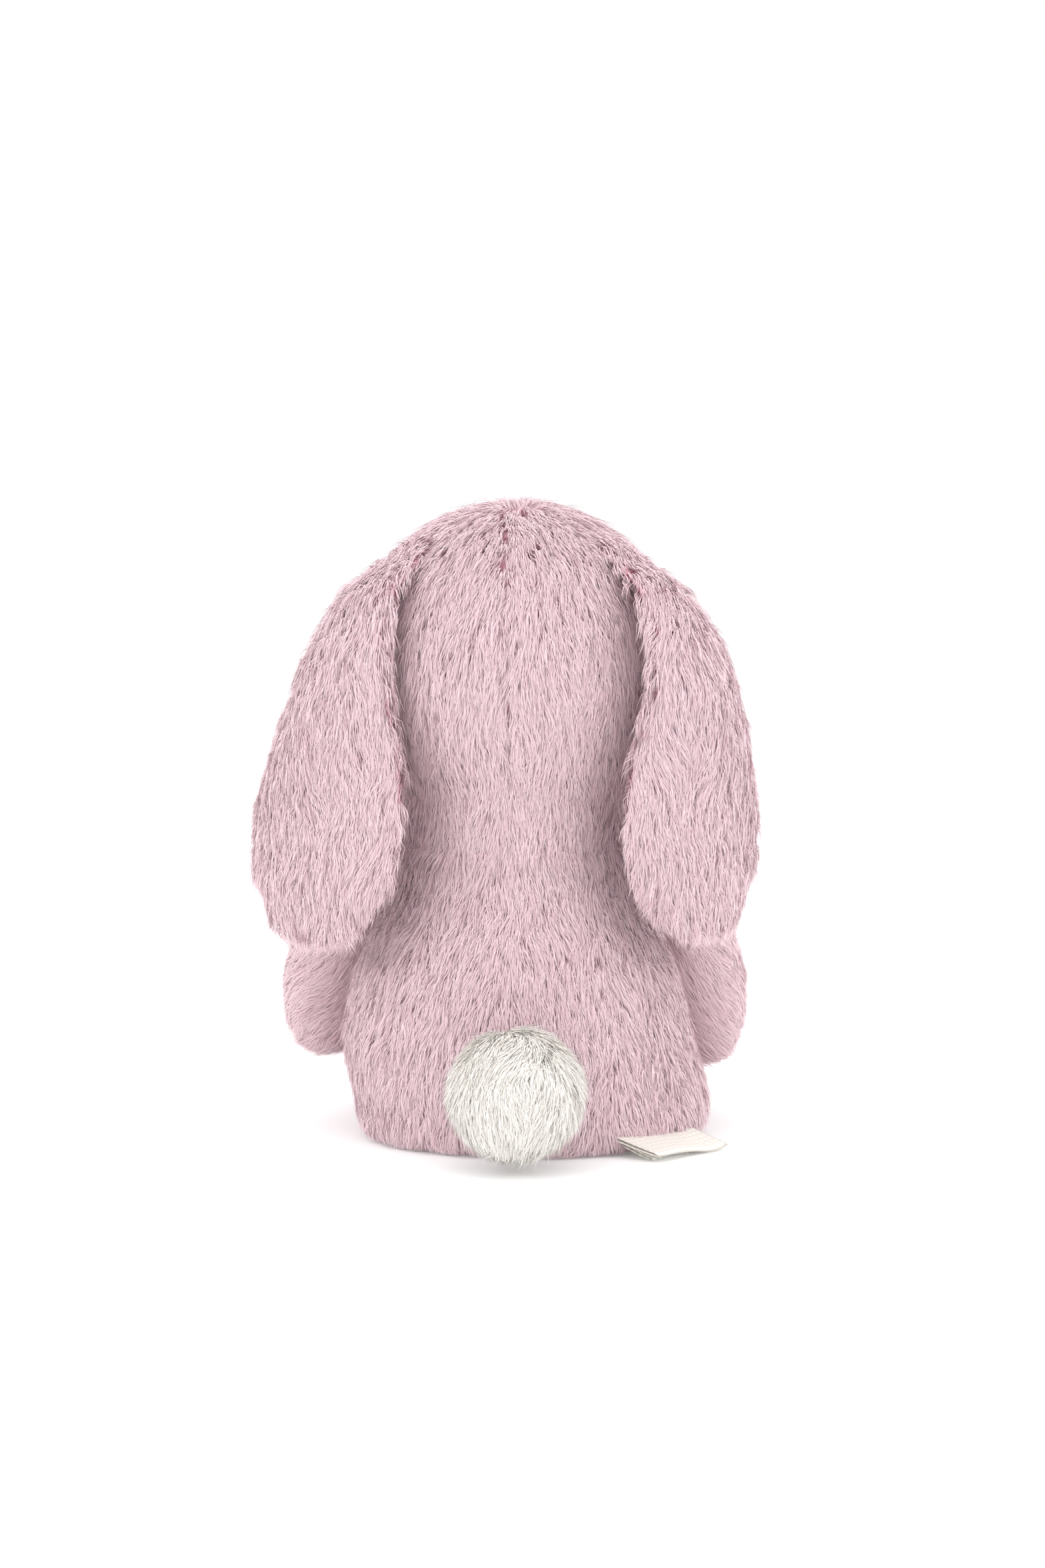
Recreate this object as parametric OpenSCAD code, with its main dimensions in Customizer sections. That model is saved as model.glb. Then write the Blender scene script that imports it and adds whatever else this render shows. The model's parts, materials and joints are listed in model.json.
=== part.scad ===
// Seated plush rabbit with lop ears, in millimetres. It sits on the plane z = 0, +Z is up, the face
// looks along -Y, and its own left side is +X. Outer surfaces are the outside of the brushed pile.

/* [Head] */
// Radius of the head at its widest level
head_r = 50; // [42:1:60]
// Half of the head's height
head_half_h = 46; // [39:1:55]
// Height of the head's centre above the neck's pivot
head_lift = 54.5; // [50:0.5:60]
// Radius of each domed eye
eye_r = 5; // [3:0.5:7]
// Angle of each eye from the middle of the face
eye_az = 30; // [20:1:40]
// Height of the eyes above the head's centre
eye_up = 4; // [-6:1:12]
// Radius of an eye's shank
shank_r = 1.6; // [1:0.1:2]
// Radius of the lock washer behind an eye
washer_r = 5.5; // [4:0.5:7]
// Thickness of the lock washer
washer_t = 1.8; // [1:0.1:2.5]
// Width of the stitched nose
nose_w = 11; // [7:1:15]
// Height of the nose below the head's centre
nose_drop = 5; // [0:1:10]

/* [Torso] */
// Radius of the torso at its widest level
torso_r = 53; // [46:1:62]
// Radius of the round lower part, seen from the side
belly_round = 31; // [28:1:36]
// Height of the torso's widest level
belly_z = 26; // [22:1:27]
// Radius of the round neck that the head turns on
neck_r = 32; // [26:1:36]
// Height of the neck's pivot
neck_z = 90; // [84:1:110]
// Thickness of the fabric seat that the toy rests on
seat_t = 4; // [3:0.5:6]
// Radius of the pouch of pellets
bag_r = 29; // [22:1:32]
// Half of the pouch's height
bag_half_h = 9; // [7:0.5:11]
// Radius of one pellet
pellet_r = 2.5; // [1.5:0.1:2.8]

/* [Arms] */
// Height of the shoulders
shoulder_z = 86; // [76:1:92]
// Radius of an arm at its shoulder
shoulder_r = 13; // [9:1:15]
// Height of the middle of a paw
paw_z = 36; // [32:1:48]
// Radius of a paw
paw_r = 14.5; // [11:0.5:18]
// Angle of a shoulder towards the front
shoulder_az = 12; // [5:1:20]
// Angle of a paw towards the front
paw_az = 30; // [20:1:38]

/* [Legs] */
// Radius of a thigh
thigh_r = 19; // [15:1:22]
// Radius of a foot
foot_r = 20.5; // [16:0.5:24]
// Length from the hip's pivot to the middle of the foot
leg_len = 29; // [22:1:40]
// Angle of a hip from the middle of the belly
hip_az = 26; // [24:1:34]
// Depth of the dimple that a thigh sits in
hip_dip = 5; // [3:0.5:6]
// Height of a foot's underside above the table
foot_gap = 0.5; // [0.2:0.1:2]
// Angle that a leg points outwards
toe_out = 8; // [0:1:15]
// Radius of the flat sole
sole_r = 13; // [10:1:14]

/* [Ears] */
// Width of an ear
ear_w = 54; // [44:1:62]
// Length from the ear's seam to its tip
ear_len = 110; // [90:1:122]
// Thickness of an ear
ear_t = 14; // [12:1:18]
// Thickness of the lining on an ear's inner face
lining_t = 3; // [1:0.5:4]
// Height of the ear's seam above the head's centre
ear_up = 27; // [20:1:30]
// Direction that an ear faces, from the side towards the back
ear_az = 50; // [40:1:60]
// Distance that an ear's tip drifts towards the front
ear_drift = 28; // [16:1:34]
// Radius of the rolled seam at the ear's root
ear_roll = 8; // [6:0.5:10]
// Length of the rolled seam at the ear's root
ear_seam = 20; // [16:1:28]

/* [Tail] */
// Radius of the tail
tail_r = 20.5; // [15:0.5:25]
// Height of the tail's underside above the table
tail_gap = 1.5; // [0.5:0.5:8]

/* [Label] */
// Width of the sewn label
label_w = 32; // [20:1:36]
// Length that the label stands out of its seam
label_len = 22; // [14:1:30]
// Height of the label's seam
label_z = 7.5; // [6:0.5:10]
// Angle of the label from the middle of the back
label_az = 49; // [40:1:60]

/* [Fabric] */
// Thickness of the backing with its pressed pile
skin_t = 4; // [3:0.5:5]
// Thickness of a pouch or a label
thin_t = 0.8; // [0.5:0.1:1]
// Clearance between pieces that are sewn together
fit_gap = 0.3; // [0.2:0.05:0.5]
// Clearance between pieces that move against each other
move_gap = 0.5; // [0.4:0.1:1]
// Clearance between the body and what hangs beside it
hang_gap = 1; // [0.8:0.1:2]

/* [Hidden] */
$fn = 64;
big = 400;
head_z = neck_z + head_lift;
belly_x = torso_r - belly_round;
// the slope between the round belly and the round neck, as the angle of its outward normal
slope = atan2(neck_z - belly_z, -belly_x)
    - acos((belly_round - neck_r) / norm([belly_x, neck_z - belly_z]));
slope_low = [belly_x + belly_round * cos(slope), belly_z + belly_round * sin(slope)];
slope_high = [neck_r * cos(slope), neck_z + neck_r * sin(slope)];

// Radius of the torso at a height
function torso_at(z) =
    z < slope_low[1] ? belly_x + sqrt(pow(belly_round, 2) - pow(z - belly_z, 2))
    : z > slope_high[1] ? sqrt(max(0, pow(neck_r, 2) - pow(z - neck_z, 2)))
    : slope_low[0] + (slope_high[0] - slope_low[0]) * (z - slope_low[1]) / (slope_high[1] - slope_low[1]);
// Radius of the head at a height
function head_at(z) = head_r * sqrt(1 - pow((z - head_z) / head_half_h, 2));
// A point at a radius, an angle from the +X axis and a height
function polar(r, az, z) = [r * cos(az), r * sin(az), z];

// arms hang just clear of the sloping torso
arm_off = (shoulder_r + move_gap) / cos(slope);
paw_off = (paw_r + move_gap) / cos(slope);
shoulder = polar(torso_at(shoulder_z) + arm_off, -shoulder_az, shoulder_z);
paw = polar(torso_at(paw_z) + paw_off + hang_gap, -paw_az, paw_z);
arm_len = norm(paw - shoulder);

hip_z = foot_r + foot_gap;
hip = polar(torso_at(hip_z) + thigh_r - hip_dip, hip_az - 90, hip_z);
foot = hip + leg_len * [sin(toe_out), -cos(toe_out), 0];
sole_at = leg_len + sqrt(pow(foot_r, 2) - pow(sole_r, 2));

// the rolled seam sits this deep in the head
ear_sink = 2;
ear_root_z = head_z + ear_up;
ear_root_d = head_at(ear_root_z) + ear_roll - ear_sink;
ear_d = head_r + ear_t / 2 + hang_gap + move_gap;
// between the seam and the broad part, an ear is a strap with edges of this radius
ear_neck_r = 4;
// the strap ends this far below the seam
ear_knee = 22;

// the washer lies flat, so its highest and lowest edges set how deep it sits under the curved panel
eye_z = head_z + eye_up;
washer_sink = head_at(eye_z) - min(head_at(eye_z + washer_r), head_at(eye_z - washer_r))
    + pow(washer_r, 2) / (2 * head_r) + 2 * fit_gap;
shank_len = skin_t + washer_sink + washer_t + 3;

bag_z = seat_t + bag_half_h + 2;
tail_z = tail_r + tail_gap;
tail_y = torso_at(tail_z) + tail_r + hang_gap;
label_r = torso_at(label_z) + hang_gap;
// the label's free end stays this far above the table
label_rise = 0.6;
label_fall = asin((label_z - 2 * thin_t - label_rise) / label_len);

PILE = "#dcbcc6";
CREAM = "#f1ede6";
LINING = "#eac3cd";
WADDING = "#f4f3ef";
RIBBON = "#efe9dc";

// ---- placing ----

// Puts children on the other side of the body when side is -1
module on_side(side) {
    if (side > 0) children();
    else mirror([1, 0, 0]) children();
}

// Stands children's +Z along the line from one point to another
module along(from, to) {
    way = to - from;
    translate(from) rotate([0, acos(way[2] / norm(way)), atan2(way[1], way[0])]) children();
}

// Puts children on the front of the head, with +Z pointing out of the face
module on_face(az, z, r) {
    translate([r * sin(az), -r * cos(az), z]) rotate([90, 0, az]) children();
}

// Half of all space: +1 keeps the positive side of the plane, -1 the other
module half(axis, side) {
    shift = [for (i = [0:2]) i == axis ? side * big / 2 : 0];
    translate(shift) cube(big, center = true);
}

// A solid of revolution from a symmetric outline, drawn in by inset all round
module turned(inset) {
    rotate_extrude() intersection() {
        offset(delta = -inset) children();
        translate([0, -big / 2]) square(big);
    }
}

// A rod with round ends of two radii, from the origin along +Z
module limb(r1, r2, len, inset) {
    turned(inset) hull() {
        circle(r1);
        translate([0, len]) circle(r2);
    }
}

// ---- solids of the main bodies, drawn in by inset ----

module ear_seam_bar(side, r) {
    on_side(side) rotate([0, 0, ear_az]) translate([ear_root_d, ear_seam / 2 - ear_roll, ear_root_z])
        rotate([90, 0, 0]) limb(r, r, ear_seam - 2 * ear_roll, 0);
}

module head_solid(inset) {
    difference() {
        translate([0, 0, head_z]) turned(inset)
            polygon([for (a = [0:7.5:352.5]) [head_r * cos(a), head_half_h * sin(a)]]);
        translate([0, 0, neck_z]) sphere(neck_r + move_gap + inset);
        for (side = [-1, 1]) ear_seam_bar(side, ear_roll + move_gap + inset);
    }
}

module torso_solid(inset) {
    difference() {
        turned(inset) intersection() {
            hull() {
                for (x = [-belly_x, belly_x]) translate([x, belly_z]) circle(belly_round);
                translate([0, neck_z]) circle(neck_r);
            }
            translate([-big / 2, 0]) square(big);
        }
        for (side = [-1, 1]) on_side(side) translate(hip) sphere(thigh_r + move_gap + inset);
    }
}

module bag_solid(inset) {
    turned(inset) hull() for (x = [-1, 1]) translate([x * (bag_r - bag_half_h), bag_z]) circle(bag_half_h);
}

// The domed eye, flat at the back half way into the panel, with its shank
module eye_solid(gap) {
    intersection() {
        translate([0, 0, 1 - eye_r * 0.4]) sphere(eye_r + gap);
        translate([0, 0, -skin_t / 2 - gap]) half(2, 1);
    }
    translate([0, 0, -shank_len]) cylinder(h = shank_len, r = shank_r + gap);
}

module at_eye(side) {
    on_face(side * eye_az, eye_z, head_at(eye_z)) children();
}

// ---- head ----

module head_panel(side) {
    color(PILE) difference() {
        intersection() {
            head_solid(0);
            half(0, side);
        }
        head_solid(skin_t);
        for (s = [-1, 1]) at_eye(s) eye_solid(fit_gap);
    }
}

module head_filling() {
    color(WADDING) difference() {
        head_solid(skin_t + fit_gap);
        for (s = [-1, 1]) at_eye(s) {
            translate([0, 0, -shank_len - 1]) cylinder(h = shank_len + 1, r = washer_r + fit_gap);
        }
    }
}

module eye(side) {
    color("#15110f") at_eye(side) eye_solid(0);
}

module eye_washer(side) {
    color("#e8e8e4") at_eye(side) translate([0, 0, -skin_t - washer_sink - washer_t]) difference() {
        cylinder(h = washer_t, r = washer_r);
        translate([0, 0, -1]) cylinder(h = washer_t + 2, r = shank_r + fit_gap / 2);
    }
}

module nose() {
    color("#b9778a") on_face(0, head_z - nose_drop, head_r + 0.1) intersection() {
        hull() {
            for (x = [-1, 1]) translate([x * (nose_w / 2 - 2), 2, 0]) sphere(2, $fn = 24);
            translate([0, -2, 0]) sphere(2, $fn = 24);
        }
        half(2, 1);
    }
}

module mouth_thread() {
    top = [0, -4.6, 0.6];
    fork = [0, -9, 0];
    color("#a8657a") on_face(0, head_z - nose_drop, head_r) {
        for (end = [top, [-5, -12, -1.2], [5, -12, -1.2]]) hull() {
            translate(fork) sphere(0.6, $fn = 12);
            translate(end) sphere(0.6, $fn = 12);
        }
    }
}

// ---- ears ----

// Puts children on one ear: +X out of its face, +Y from the front edge to the back edge
module at_ear(side) {
    on_side(side) rotate([0, 0, ear_az]) children();
}

// How far an ear's middle line has moved towards the front, below its seam
function ear_y(down) = -ear_drift * sqrt(down / ear_len);

// One round station of the ear: how far down from the seam, and how large
module ear_disc(down, shrink, low, high) {
    translate([ear_d + low, ear_y(down), ear_root_z - down]) rotate([0, 90, 0])
        cylinder(h = high - low, r1 = ear_w / 2 - shrink[0], r2 = ear_w / 2 - shrink[1], $fn = 32);
}

module ear_back(side) {
    inner = -ear_t / 2 + lining_t;
    color(PILE) {
        ear_seam_bar(side, ear_roll);
        at_ear(side) {
            hull() {
                for (y = [-1, 1]) {
                    translate([ear_root_d, y * (ear_seam / 2 - ear_roll), ear_root_z])
                        sphere(ear_neck_r, $fn = 24);
                    translate([ear_d, ear_y(ear_knee) + y * (ear_w / 2 - 17), ear_root_z - ear_knee])
                        sphere(ear_neck_r, $fn = 24);
                }
            }
            hull() {
                ear_disc(ear_len * 0.3, [8, 12], inner, ear_t / 2);
                ear_disc(ear_len * 0.55, [1, 5], inner, ear_t / 2);
                ear_disc(ear_len - ear_w / 2 + 1, [1, 6], inner, ear_t / 2);
            }
        }
    }
}

module ear_lining(side) {
    inner = -ear_t / 2;
    // the lining's round top stays below the strap
    top = ear_knee + ear_neck_r + fit_gap + ear_w / 2 - 9;
    color(LINING) at_ear(side) hull() {
        ear_disc(top, [11, 9], inner, inner + lining_t);
        ear_disc(ear_len * 0.55, [7, 5], inner, inner + lining_t);
        ear_disc(ear_len - ear_w / 2, [8, 6], inner, inner + lining_t);
    }
}

// ---- torso ----

module torso_panel(side) {
    color(PILE) difference() {
        intersection() {
            torso_solid(0);
            half(1, side);
            translate([0, 0, seat_t]) half(2, 1);
        }
        torso_solid(skin_t);
    }
}

module seat_panel() {
    color(PILE) intersection() {
        torso_solid(0);
        translate([0, 0, seat_t]) half(2, -1);
    }
}

module torso_filling() {
    color(WADDING) difference() {
        torso_solid(skin_t + fit_gap);
        bag_solid(-fit_gap);
    }
}

module bean_bag() {
    color("#e9e4da") difference() {
        bag_solid(0);
        bag_solid(thin_t);
    }
}

module bean_pellets() {
    pitch = 2 * pellet_r + 1;
    rings = floor((bag_r - thin_t - pellet_r - 1) / pitch);
    color("#d9dde0") translate([0, 0, bag_z]) for (ring = [0:rings - 1]) {
        for (i = [0:max(0, 6 * ring - 1)]) {
            translate(polar(ring * pitch, i * 60 / max(1, ring), 0)) sphere(pellet_r);
        }
    }
}

// ---- arms ----

module at_arm(side) {
    on_side(side) along(shoulder, paw) children();
}

// The inner panel faces the body, the outer one faces away
module arm_panel(side, face) {
    color(PILE) at_arm(side) difference() {
        intersection() {
            limb(shoulder_r, paw_r, arm_len, 0);
            half(0, face);
        }
        limb(shoulder_r, paw_r, arm_len, skin_t);
    }
}

module arm_filling(side) {
    color(WADDING) at_arm(side) limb(shoulder_r, paw_r, arm_len, skin_t + fit_gap);
}

// ---- legs ----

module at_leg(side) {
    on_side(side) along(hip, foot) children();
}

module leg_solid(inset) {
    intersection() {
        limb(thigh_r, foot_r, leg_len, inset);
        translate([0, 0, sole_at - inset]) half(2, -1);
    }
}

module leg_skin(side) {
    color(PILE) at_leg(side) difference() {
        leg_solid(0);
        leg_solid(skin_t);
        translate([0, 0, sole_at - skin_t - 1]) cylinder(h = skin_t + 2, r = sole_r - skin_t);
    }
}

module foot_sole(side) {
    color(LINING) at_leg(side) translate([0, 0, sole_at - skin_t])
        cylinder(h = skin_t, r = sole_r - skin_t - fit_gap);
}

module leg_filling(side) {
    color(WADDING) at_leg(side) leg_solid(skin_t + fit_gap);
}

// ---- tail ----

module tail_cover() {
    color(CREAM) translate([0, tail_y, tail_z]) difference() {
        sphere(tail_r);
        sphere(tail_r - skin_t);
    }
}

module tail_filling() {
    color(WADDING) translate([0, tail_y, tail_z]) sphere(tail_r - skin_t - fit_gap);
}

// ---- label ----

// Puts children in the label's seam: +X along the label to its free end, +Z out of its upper face
module at_label() {
    rotate([0, 0, 90 + label_az]) translate([label_r, 0, label_z]) rotate([0, label_fall, 0]) children();
}

module sewn_label() {
    color(RIBBON) at_label() translate([0, -label_w / 2, -thin_t]) cube([label_len, label_w, thin_t]);
}

module care_label() {
    color("#f6f3ea") at_label() translate([0, 2 - label_w / 2, -2 * thin_t])
        cube([label_len - 3, label_w - 4, thin_t]);
}

head_panel(1);  // head_left_panel
head_panel(-1);  // head_right_panel
head_filling();
eye(1);  // left_eye
eye(-1);  // right_eye
eye_washer(1);  // left_eye_washer
eye_washer(-1);  // right_eye_washer
nose();
mouth_thread();
ear_back(1);  // left_ear_back
ear_lining(1);  // left_ear_lining
ear_back(-1);  // right_ear_back
ear_lining(-1);  // right_ear_lining
torso_panel(1);  // torso_back_panel
torso_panel(-1);  // torso_belly_panel
seat_panel();
torso_filling();
bean_bag();
bean_pellets();
arm_panel(1, 1);  // left_arm_outer_panel
arm_panel(1, -1);  // left_arm_inner_panel
arm_filling(1);  // left_arm_filling
arm_panel(-1, 1);  // right_arm_outer_panel
arm_panel(-1, -1);  // right_arm_inner_panel
arm_filling(-1);  // right_arm_filling
leg_skin(1);  // left_leg_skin
foot_sole(1);  // left_foot_sole
leg_filling(1);  // left_leg_filling
leg_skin(-1);  // right_leg_skin
foot_sole(-1);  // right_foot_sole
leg_filling(-1);  // right_leg_filling
tail_cover();
tail_filling();
sewn_label();
care_label();
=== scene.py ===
"""Looks of a seated plush rabbit: sewn and stuffed forms, a coat of combed pile, and a plain studio.

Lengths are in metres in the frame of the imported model: +Z up, the face along -Y. Each sewn part is a
stuffed form of knitted backing cloth, and its pile is real geometry: tufts of tapered strands.
"""

import json
import logging
import math
from collections.abc import Callable
from dataclasses import dataclass, field
from enum import Enum

import bmesh
import bpy
import numpy as np
from mathutils import Matrix, Vector

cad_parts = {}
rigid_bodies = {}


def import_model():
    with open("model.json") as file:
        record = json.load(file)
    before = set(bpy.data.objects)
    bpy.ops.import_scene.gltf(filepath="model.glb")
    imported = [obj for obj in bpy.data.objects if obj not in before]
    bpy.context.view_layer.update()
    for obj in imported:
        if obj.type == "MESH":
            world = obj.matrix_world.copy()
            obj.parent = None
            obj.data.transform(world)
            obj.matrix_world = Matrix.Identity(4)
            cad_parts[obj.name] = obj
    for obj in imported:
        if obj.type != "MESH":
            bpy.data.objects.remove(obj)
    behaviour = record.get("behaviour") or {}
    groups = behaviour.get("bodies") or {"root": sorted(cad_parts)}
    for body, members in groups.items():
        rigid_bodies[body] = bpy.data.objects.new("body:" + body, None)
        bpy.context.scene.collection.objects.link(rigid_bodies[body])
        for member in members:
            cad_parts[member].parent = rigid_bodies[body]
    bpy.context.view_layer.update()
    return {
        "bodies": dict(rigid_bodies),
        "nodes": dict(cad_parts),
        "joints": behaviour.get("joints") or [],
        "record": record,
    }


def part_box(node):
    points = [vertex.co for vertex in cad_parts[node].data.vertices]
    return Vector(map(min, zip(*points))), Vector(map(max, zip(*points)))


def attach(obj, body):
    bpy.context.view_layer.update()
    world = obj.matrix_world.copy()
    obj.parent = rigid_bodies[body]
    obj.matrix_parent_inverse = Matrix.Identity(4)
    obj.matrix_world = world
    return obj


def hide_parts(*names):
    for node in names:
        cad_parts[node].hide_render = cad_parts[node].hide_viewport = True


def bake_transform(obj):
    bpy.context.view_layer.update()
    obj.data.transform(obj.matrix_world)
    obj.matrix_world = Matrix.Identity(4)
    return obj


log = logging.getLogger("rabbit")

MM = 0.001
PILE_MAP = "OFBake"  # the pile's own map: along a strand, and its shade
BARE = 0.02  # below this share of its length, no pile is grown
Points = np.ndarray
Field = Callable[[Points, Points], Points]


class Side(Enum):
    """Which side of the body a part is on. The value is the sign of its X."""

    LEFT = 1
    RIGHT = -1

    @property
    def word(self) -> str:
        """The side's name, as part names use it."""
        return self.name.lower()


# ---------------------------------------------------------------- small helpers


def linear(colour: str) -> tuple[float, float, float, float]:
    """Turns an sRGB hex colour to linear values.

    Args:
        colour: six hex digits after a hash.

    Returns:
        Red, green, blue and an alpha of 1.
    """
    values = [int(colour[i : i + 2], 16) / 255 for i in (1, 3, 5)]
    r, g, b = [v / 12.92 if v <= 0.04045 else ((v + 0.055) / 1.055) ** 2.4 for v in values]
    return (r, g, b, 1.0)


def add_node(tree: bpy.types.NodeTree, kind: str, inputs: dict | None = None, **settings) -> bpy.types.Node:
    """Adds a node with its settings, values and links.

    Args:
        tree: the material's or world's node tree.
        kind: the node's type name.
        inputs: a value or an output socket for each named or numbered input.
        settings: the node's own attributes.

    Returns:
        The new node.
    """
    node = tree.nodes.new(kind)
    for name, value in settings.items():
        setattr(node, name, value)
    for key, value in (inputs or {}).items():
        if isinstance(value, bpy.types.NodeSocket):
            tree.links.new(value, node.inputs[key])
        else:
            node.inputs[key].default_value = value
    return node


def set_ramp(node: bpy.types.Node, stops: list[tuple[float, str]]) -> None:
    """Sets a colour ramp's stops.

    Args:
        node: the colour ramp node.
        stops: each stop's place and hex colour, in order.
    """
    elements = node.color_ramp.elements
    while len(elements) < len(stops):
        elements.new(1.0)
    for element, (place, colour) in zip(elements, stops):
        element.position = place
        element.color = linear(colour)


def smooth(x: Points, low: float, high: float) -> Points:
    """A smooth step from 0 at low to 1 at high.

    Args:
        x: the values.
        low: where the step starts.
        high: where it ends; it may be below low.

    Returns:
        The step's values.
    """
    t = np.clip((x - low) / (high - low), 0, 1)
    return t * t * (3 - 2 * t)


def unit(v: Points) -> Points:
    """Rows of v, each brought to a length of 1."""
    return v / np.maximum(np.linalg.norm(v, axis=-1, keepdims=True), 1e-12)


def along_surface(v: Points, normals: Points) -> Points:
    """Rows of v, laid into the surfaces with these normals, at a length of 1."""
    return unit(v - normals * np.sum(v * normals, axis=-1, keepdims=True))


def waves(p: Points, size: float, seed: int) -> Points:
    """Smooth noise in three channels, from a few crossing waves.

    Args:
        p: points, in metres.
        size: the distance between crests.
        seed: which noise.

    Returns:
        Three values for each point, mostly between -1 and 1.
    """
    rng = np.random.default_rng(seed)
    ways = unit(rng.normal(size=(9, 3))) * (2 * math.pi / size) * rng.uniform(0.6, 1.5, (9, 1))
    phase = rng.uniform(0, 2 * math.pi, 9)
    crests = np.sin(p @ ways.T + phase)
    return crests.reshape(len(p), 3, 3).sum(axis=2) / 1.8


def with_underside(height: Points, rim: float = -0.7) -> tuple[Points, Points]:
    """Turns heights on a ball to a form with an underside: the ball's foot becomes a disc.

    Args:
        height: heights on a ball of radius 1.
        rim: the height on the ball where the underside ends.

    Returns:
        The share of the wall's height, and the share of its radius.
    """
    share = np.clip((height - rim) / (1 - rim), 0, 1)
    reach = np.sqrt(np.clip((height + 1) / (rim + 1), 0, 1))
    return share, reach


def node_box(*names: str) -> tuple[Vector, Vector]:
    """The lowest and highest corner of several CAD nodes together.

    Args:
        names: the nodes.

    Returns:
        The two corners.
    """
    boxes = [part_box(name) for name in names]
    low = Vector([min(b[0][i] for b in boxes) for i in range(3)])
    high = Vector([max(b[1][i] for b in boxes) for i in range(3)])
    return low, high


def joint_at(frame: dict, name: str) -> Vector:
    """Where a joint's axis passes, in the frame."""
    return Vector(next(j["pos_m"] for j in frame["joints"] if j["name"] == name))


def coordinates(obj: bpy.types.Object) -> Points:
    """The vertex positions of a mesh object.

    Args:
        obj: the object.

    Returns:
        A row for each vertex.
    """
    co = np.empty(len(obj.data.vertices) * 3, np.float32)
    obj.data.vertices.foreach_get("co", co)
    return co.reshape(-1, 3).astype(float)


def move_points(obj: bpy.types.Object, points: Points) -> None:
    """Gives a mesh object new vertex positions."""
    obj.data.vertices.foreach_set("co", points.astype(np.float32).ravel())
    obj.data.update()


def mesh_object(name: str, bm: bmesh.types.BMesh, material: bpy.types.Material) -> bpy.types.Object:
    """Makes an object of a bmesh, shaded smooth, and frees the bmesh.

    Args:
        name: the piece's name.
        bm: its shape.
        material: its finish.

    Returns:
        The object, at the origin.
    """
    for face in bm.faces:
        face.smooth = True
    mesh = bpy.data.meshes.new(name)
    bm.to_mesh(mesh)
    bm.free()
    mesh.materials.append(material)
    obj = bpy.data.objects.new(name, mesh)
    bpy.context.scene.collection.objects.link(obj)
    return obj


# ---------------------------------------------------------------- finishes


def wave_scale(pitch: float) -> float:
    """A wave texture's scale for bands that repeat every pitch; its own period is a twentieth at scale 1."""
    return 1 / (pitch * 20)


def start_material(name: str) -> tuple[bpy.types.Material, bpy.types.NodeTree, bpy.types.Node]:
    """Starts a material.

    Args:
        name: the real material's name.

    Returns:
        The material, its node tree and its shader.
    """
    mat = bpy.data.materials.new(name)
    mat.use_nodes = True
    return mat, mat.node_tree, mat.node_tree.nodes["Principled BSDF"]


@dataclass(frozen=True)
class Pile:
    """Brushed polyester pile: fine, silky strands, with painted shade darkening them towards the cloth, and a
    grazing bloom.
    """

    name: str
    # the root colour is painted shade, for the shadow deep in the pile near the cloth
    root: str
    shade: str
    body: str
    tip: str
    sheen: float = 0.35

    def material(self) -> bpy.types.Material:
        """The strands' material: colour runs from a root darkened with painted shade to the tip, and each
        strand has its own tone.

        Returns:
            The material.
        """
        mat, tree, bsdf = start_material(self.name)
        place = add_node(tree, "ShaderNodeUVMap", uv_map=PILE_MAP)
        split = add_node(tree, "ShaderNodeSeparateXYZ", {0: place.outputs[0]})
        # both ramps start at the root colour, which is painted shade for the shadow between the strands near
        # the cloth
        dull = add_node(tree, "ShaderNodeValToRGB", {0: split.outputs[0]})
        set_ramp(dull, [(0.0, self.root), (0.3, self.shade), (0.75, self.shade), (1.0, self.body)])
        bright = add_node(tree, "ShaderNodeValToRGB", {0: split.outputs[0]})
        set_ramp(bright, [(0.0, self.root), (0.3, self.body), (0.65, self.body), (1.0, self.tip)])
        mix = add_node(tree, "ShaderNodeMix", data_type="RGBA")
        tree.links.new(split.outputs[1], mix.inputs[0])
        tree.links.new(dull.outputs[0], mix.inputs[6])
        tree.links.new(bright.outputs[0], mix.inputs[7])
        tree.links.new(mix.outputs[2], bsdf.inputs["Base Color"])
        bsdf.inputs["Roughness"].default_value = 0.62
        bsdf.inputs["Specular IOR Level"].default_value = 0.25
        bsdf.inputs["Sheen Weight"].default_value = self.sheen
        bsdf.inputs["Sheen Roughness"].default_value = 0.45
        bsdf.inputs["Sheen Tint"].default_value = linear(self.tip)
        return mat


@dataclass(frozen=True)
class KnitBacking:
    """Warp-knitted backing cloth under the pile: matt, with fine wales that show where the pile parts."""

    name: str
    thread: str
    gap: str
    wale: float = 0.9 * MM

    def material(self) -> bpy.types.Material:
        """The cloth's material, with wales drawn a little coarser than the real half millimetre.

        Returns:
            The material.
        """
        mat, tree, bsdf = start_material(self.name)
        place = add_node(tree, "ShaderNodeTexCoord")
        inputs = {"Vector": place.outputs["Object"], "Scale": wave_scale(self.wale)}
        inputs |= {"Distortion": 2.0, "Detail": 2.0}
        wave = add_node(tree, "ShaderNodeTexWave", inputs, wave_type="BANDS", bands_direction="DIAGONAL")
        ramp = add_node(tree, "ShaderNodeValToRGB", {0: wave.outputs[1]})
        set_ramp(ramp, [(0.2, self.gap), (0.8, self.thread)])
        tree.links.new(ramp.outputs[0], bsdf.inputs["Base Color"])
        bsdf.inputs["Roughness"].default_value = 0.9
        return mat


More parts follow.
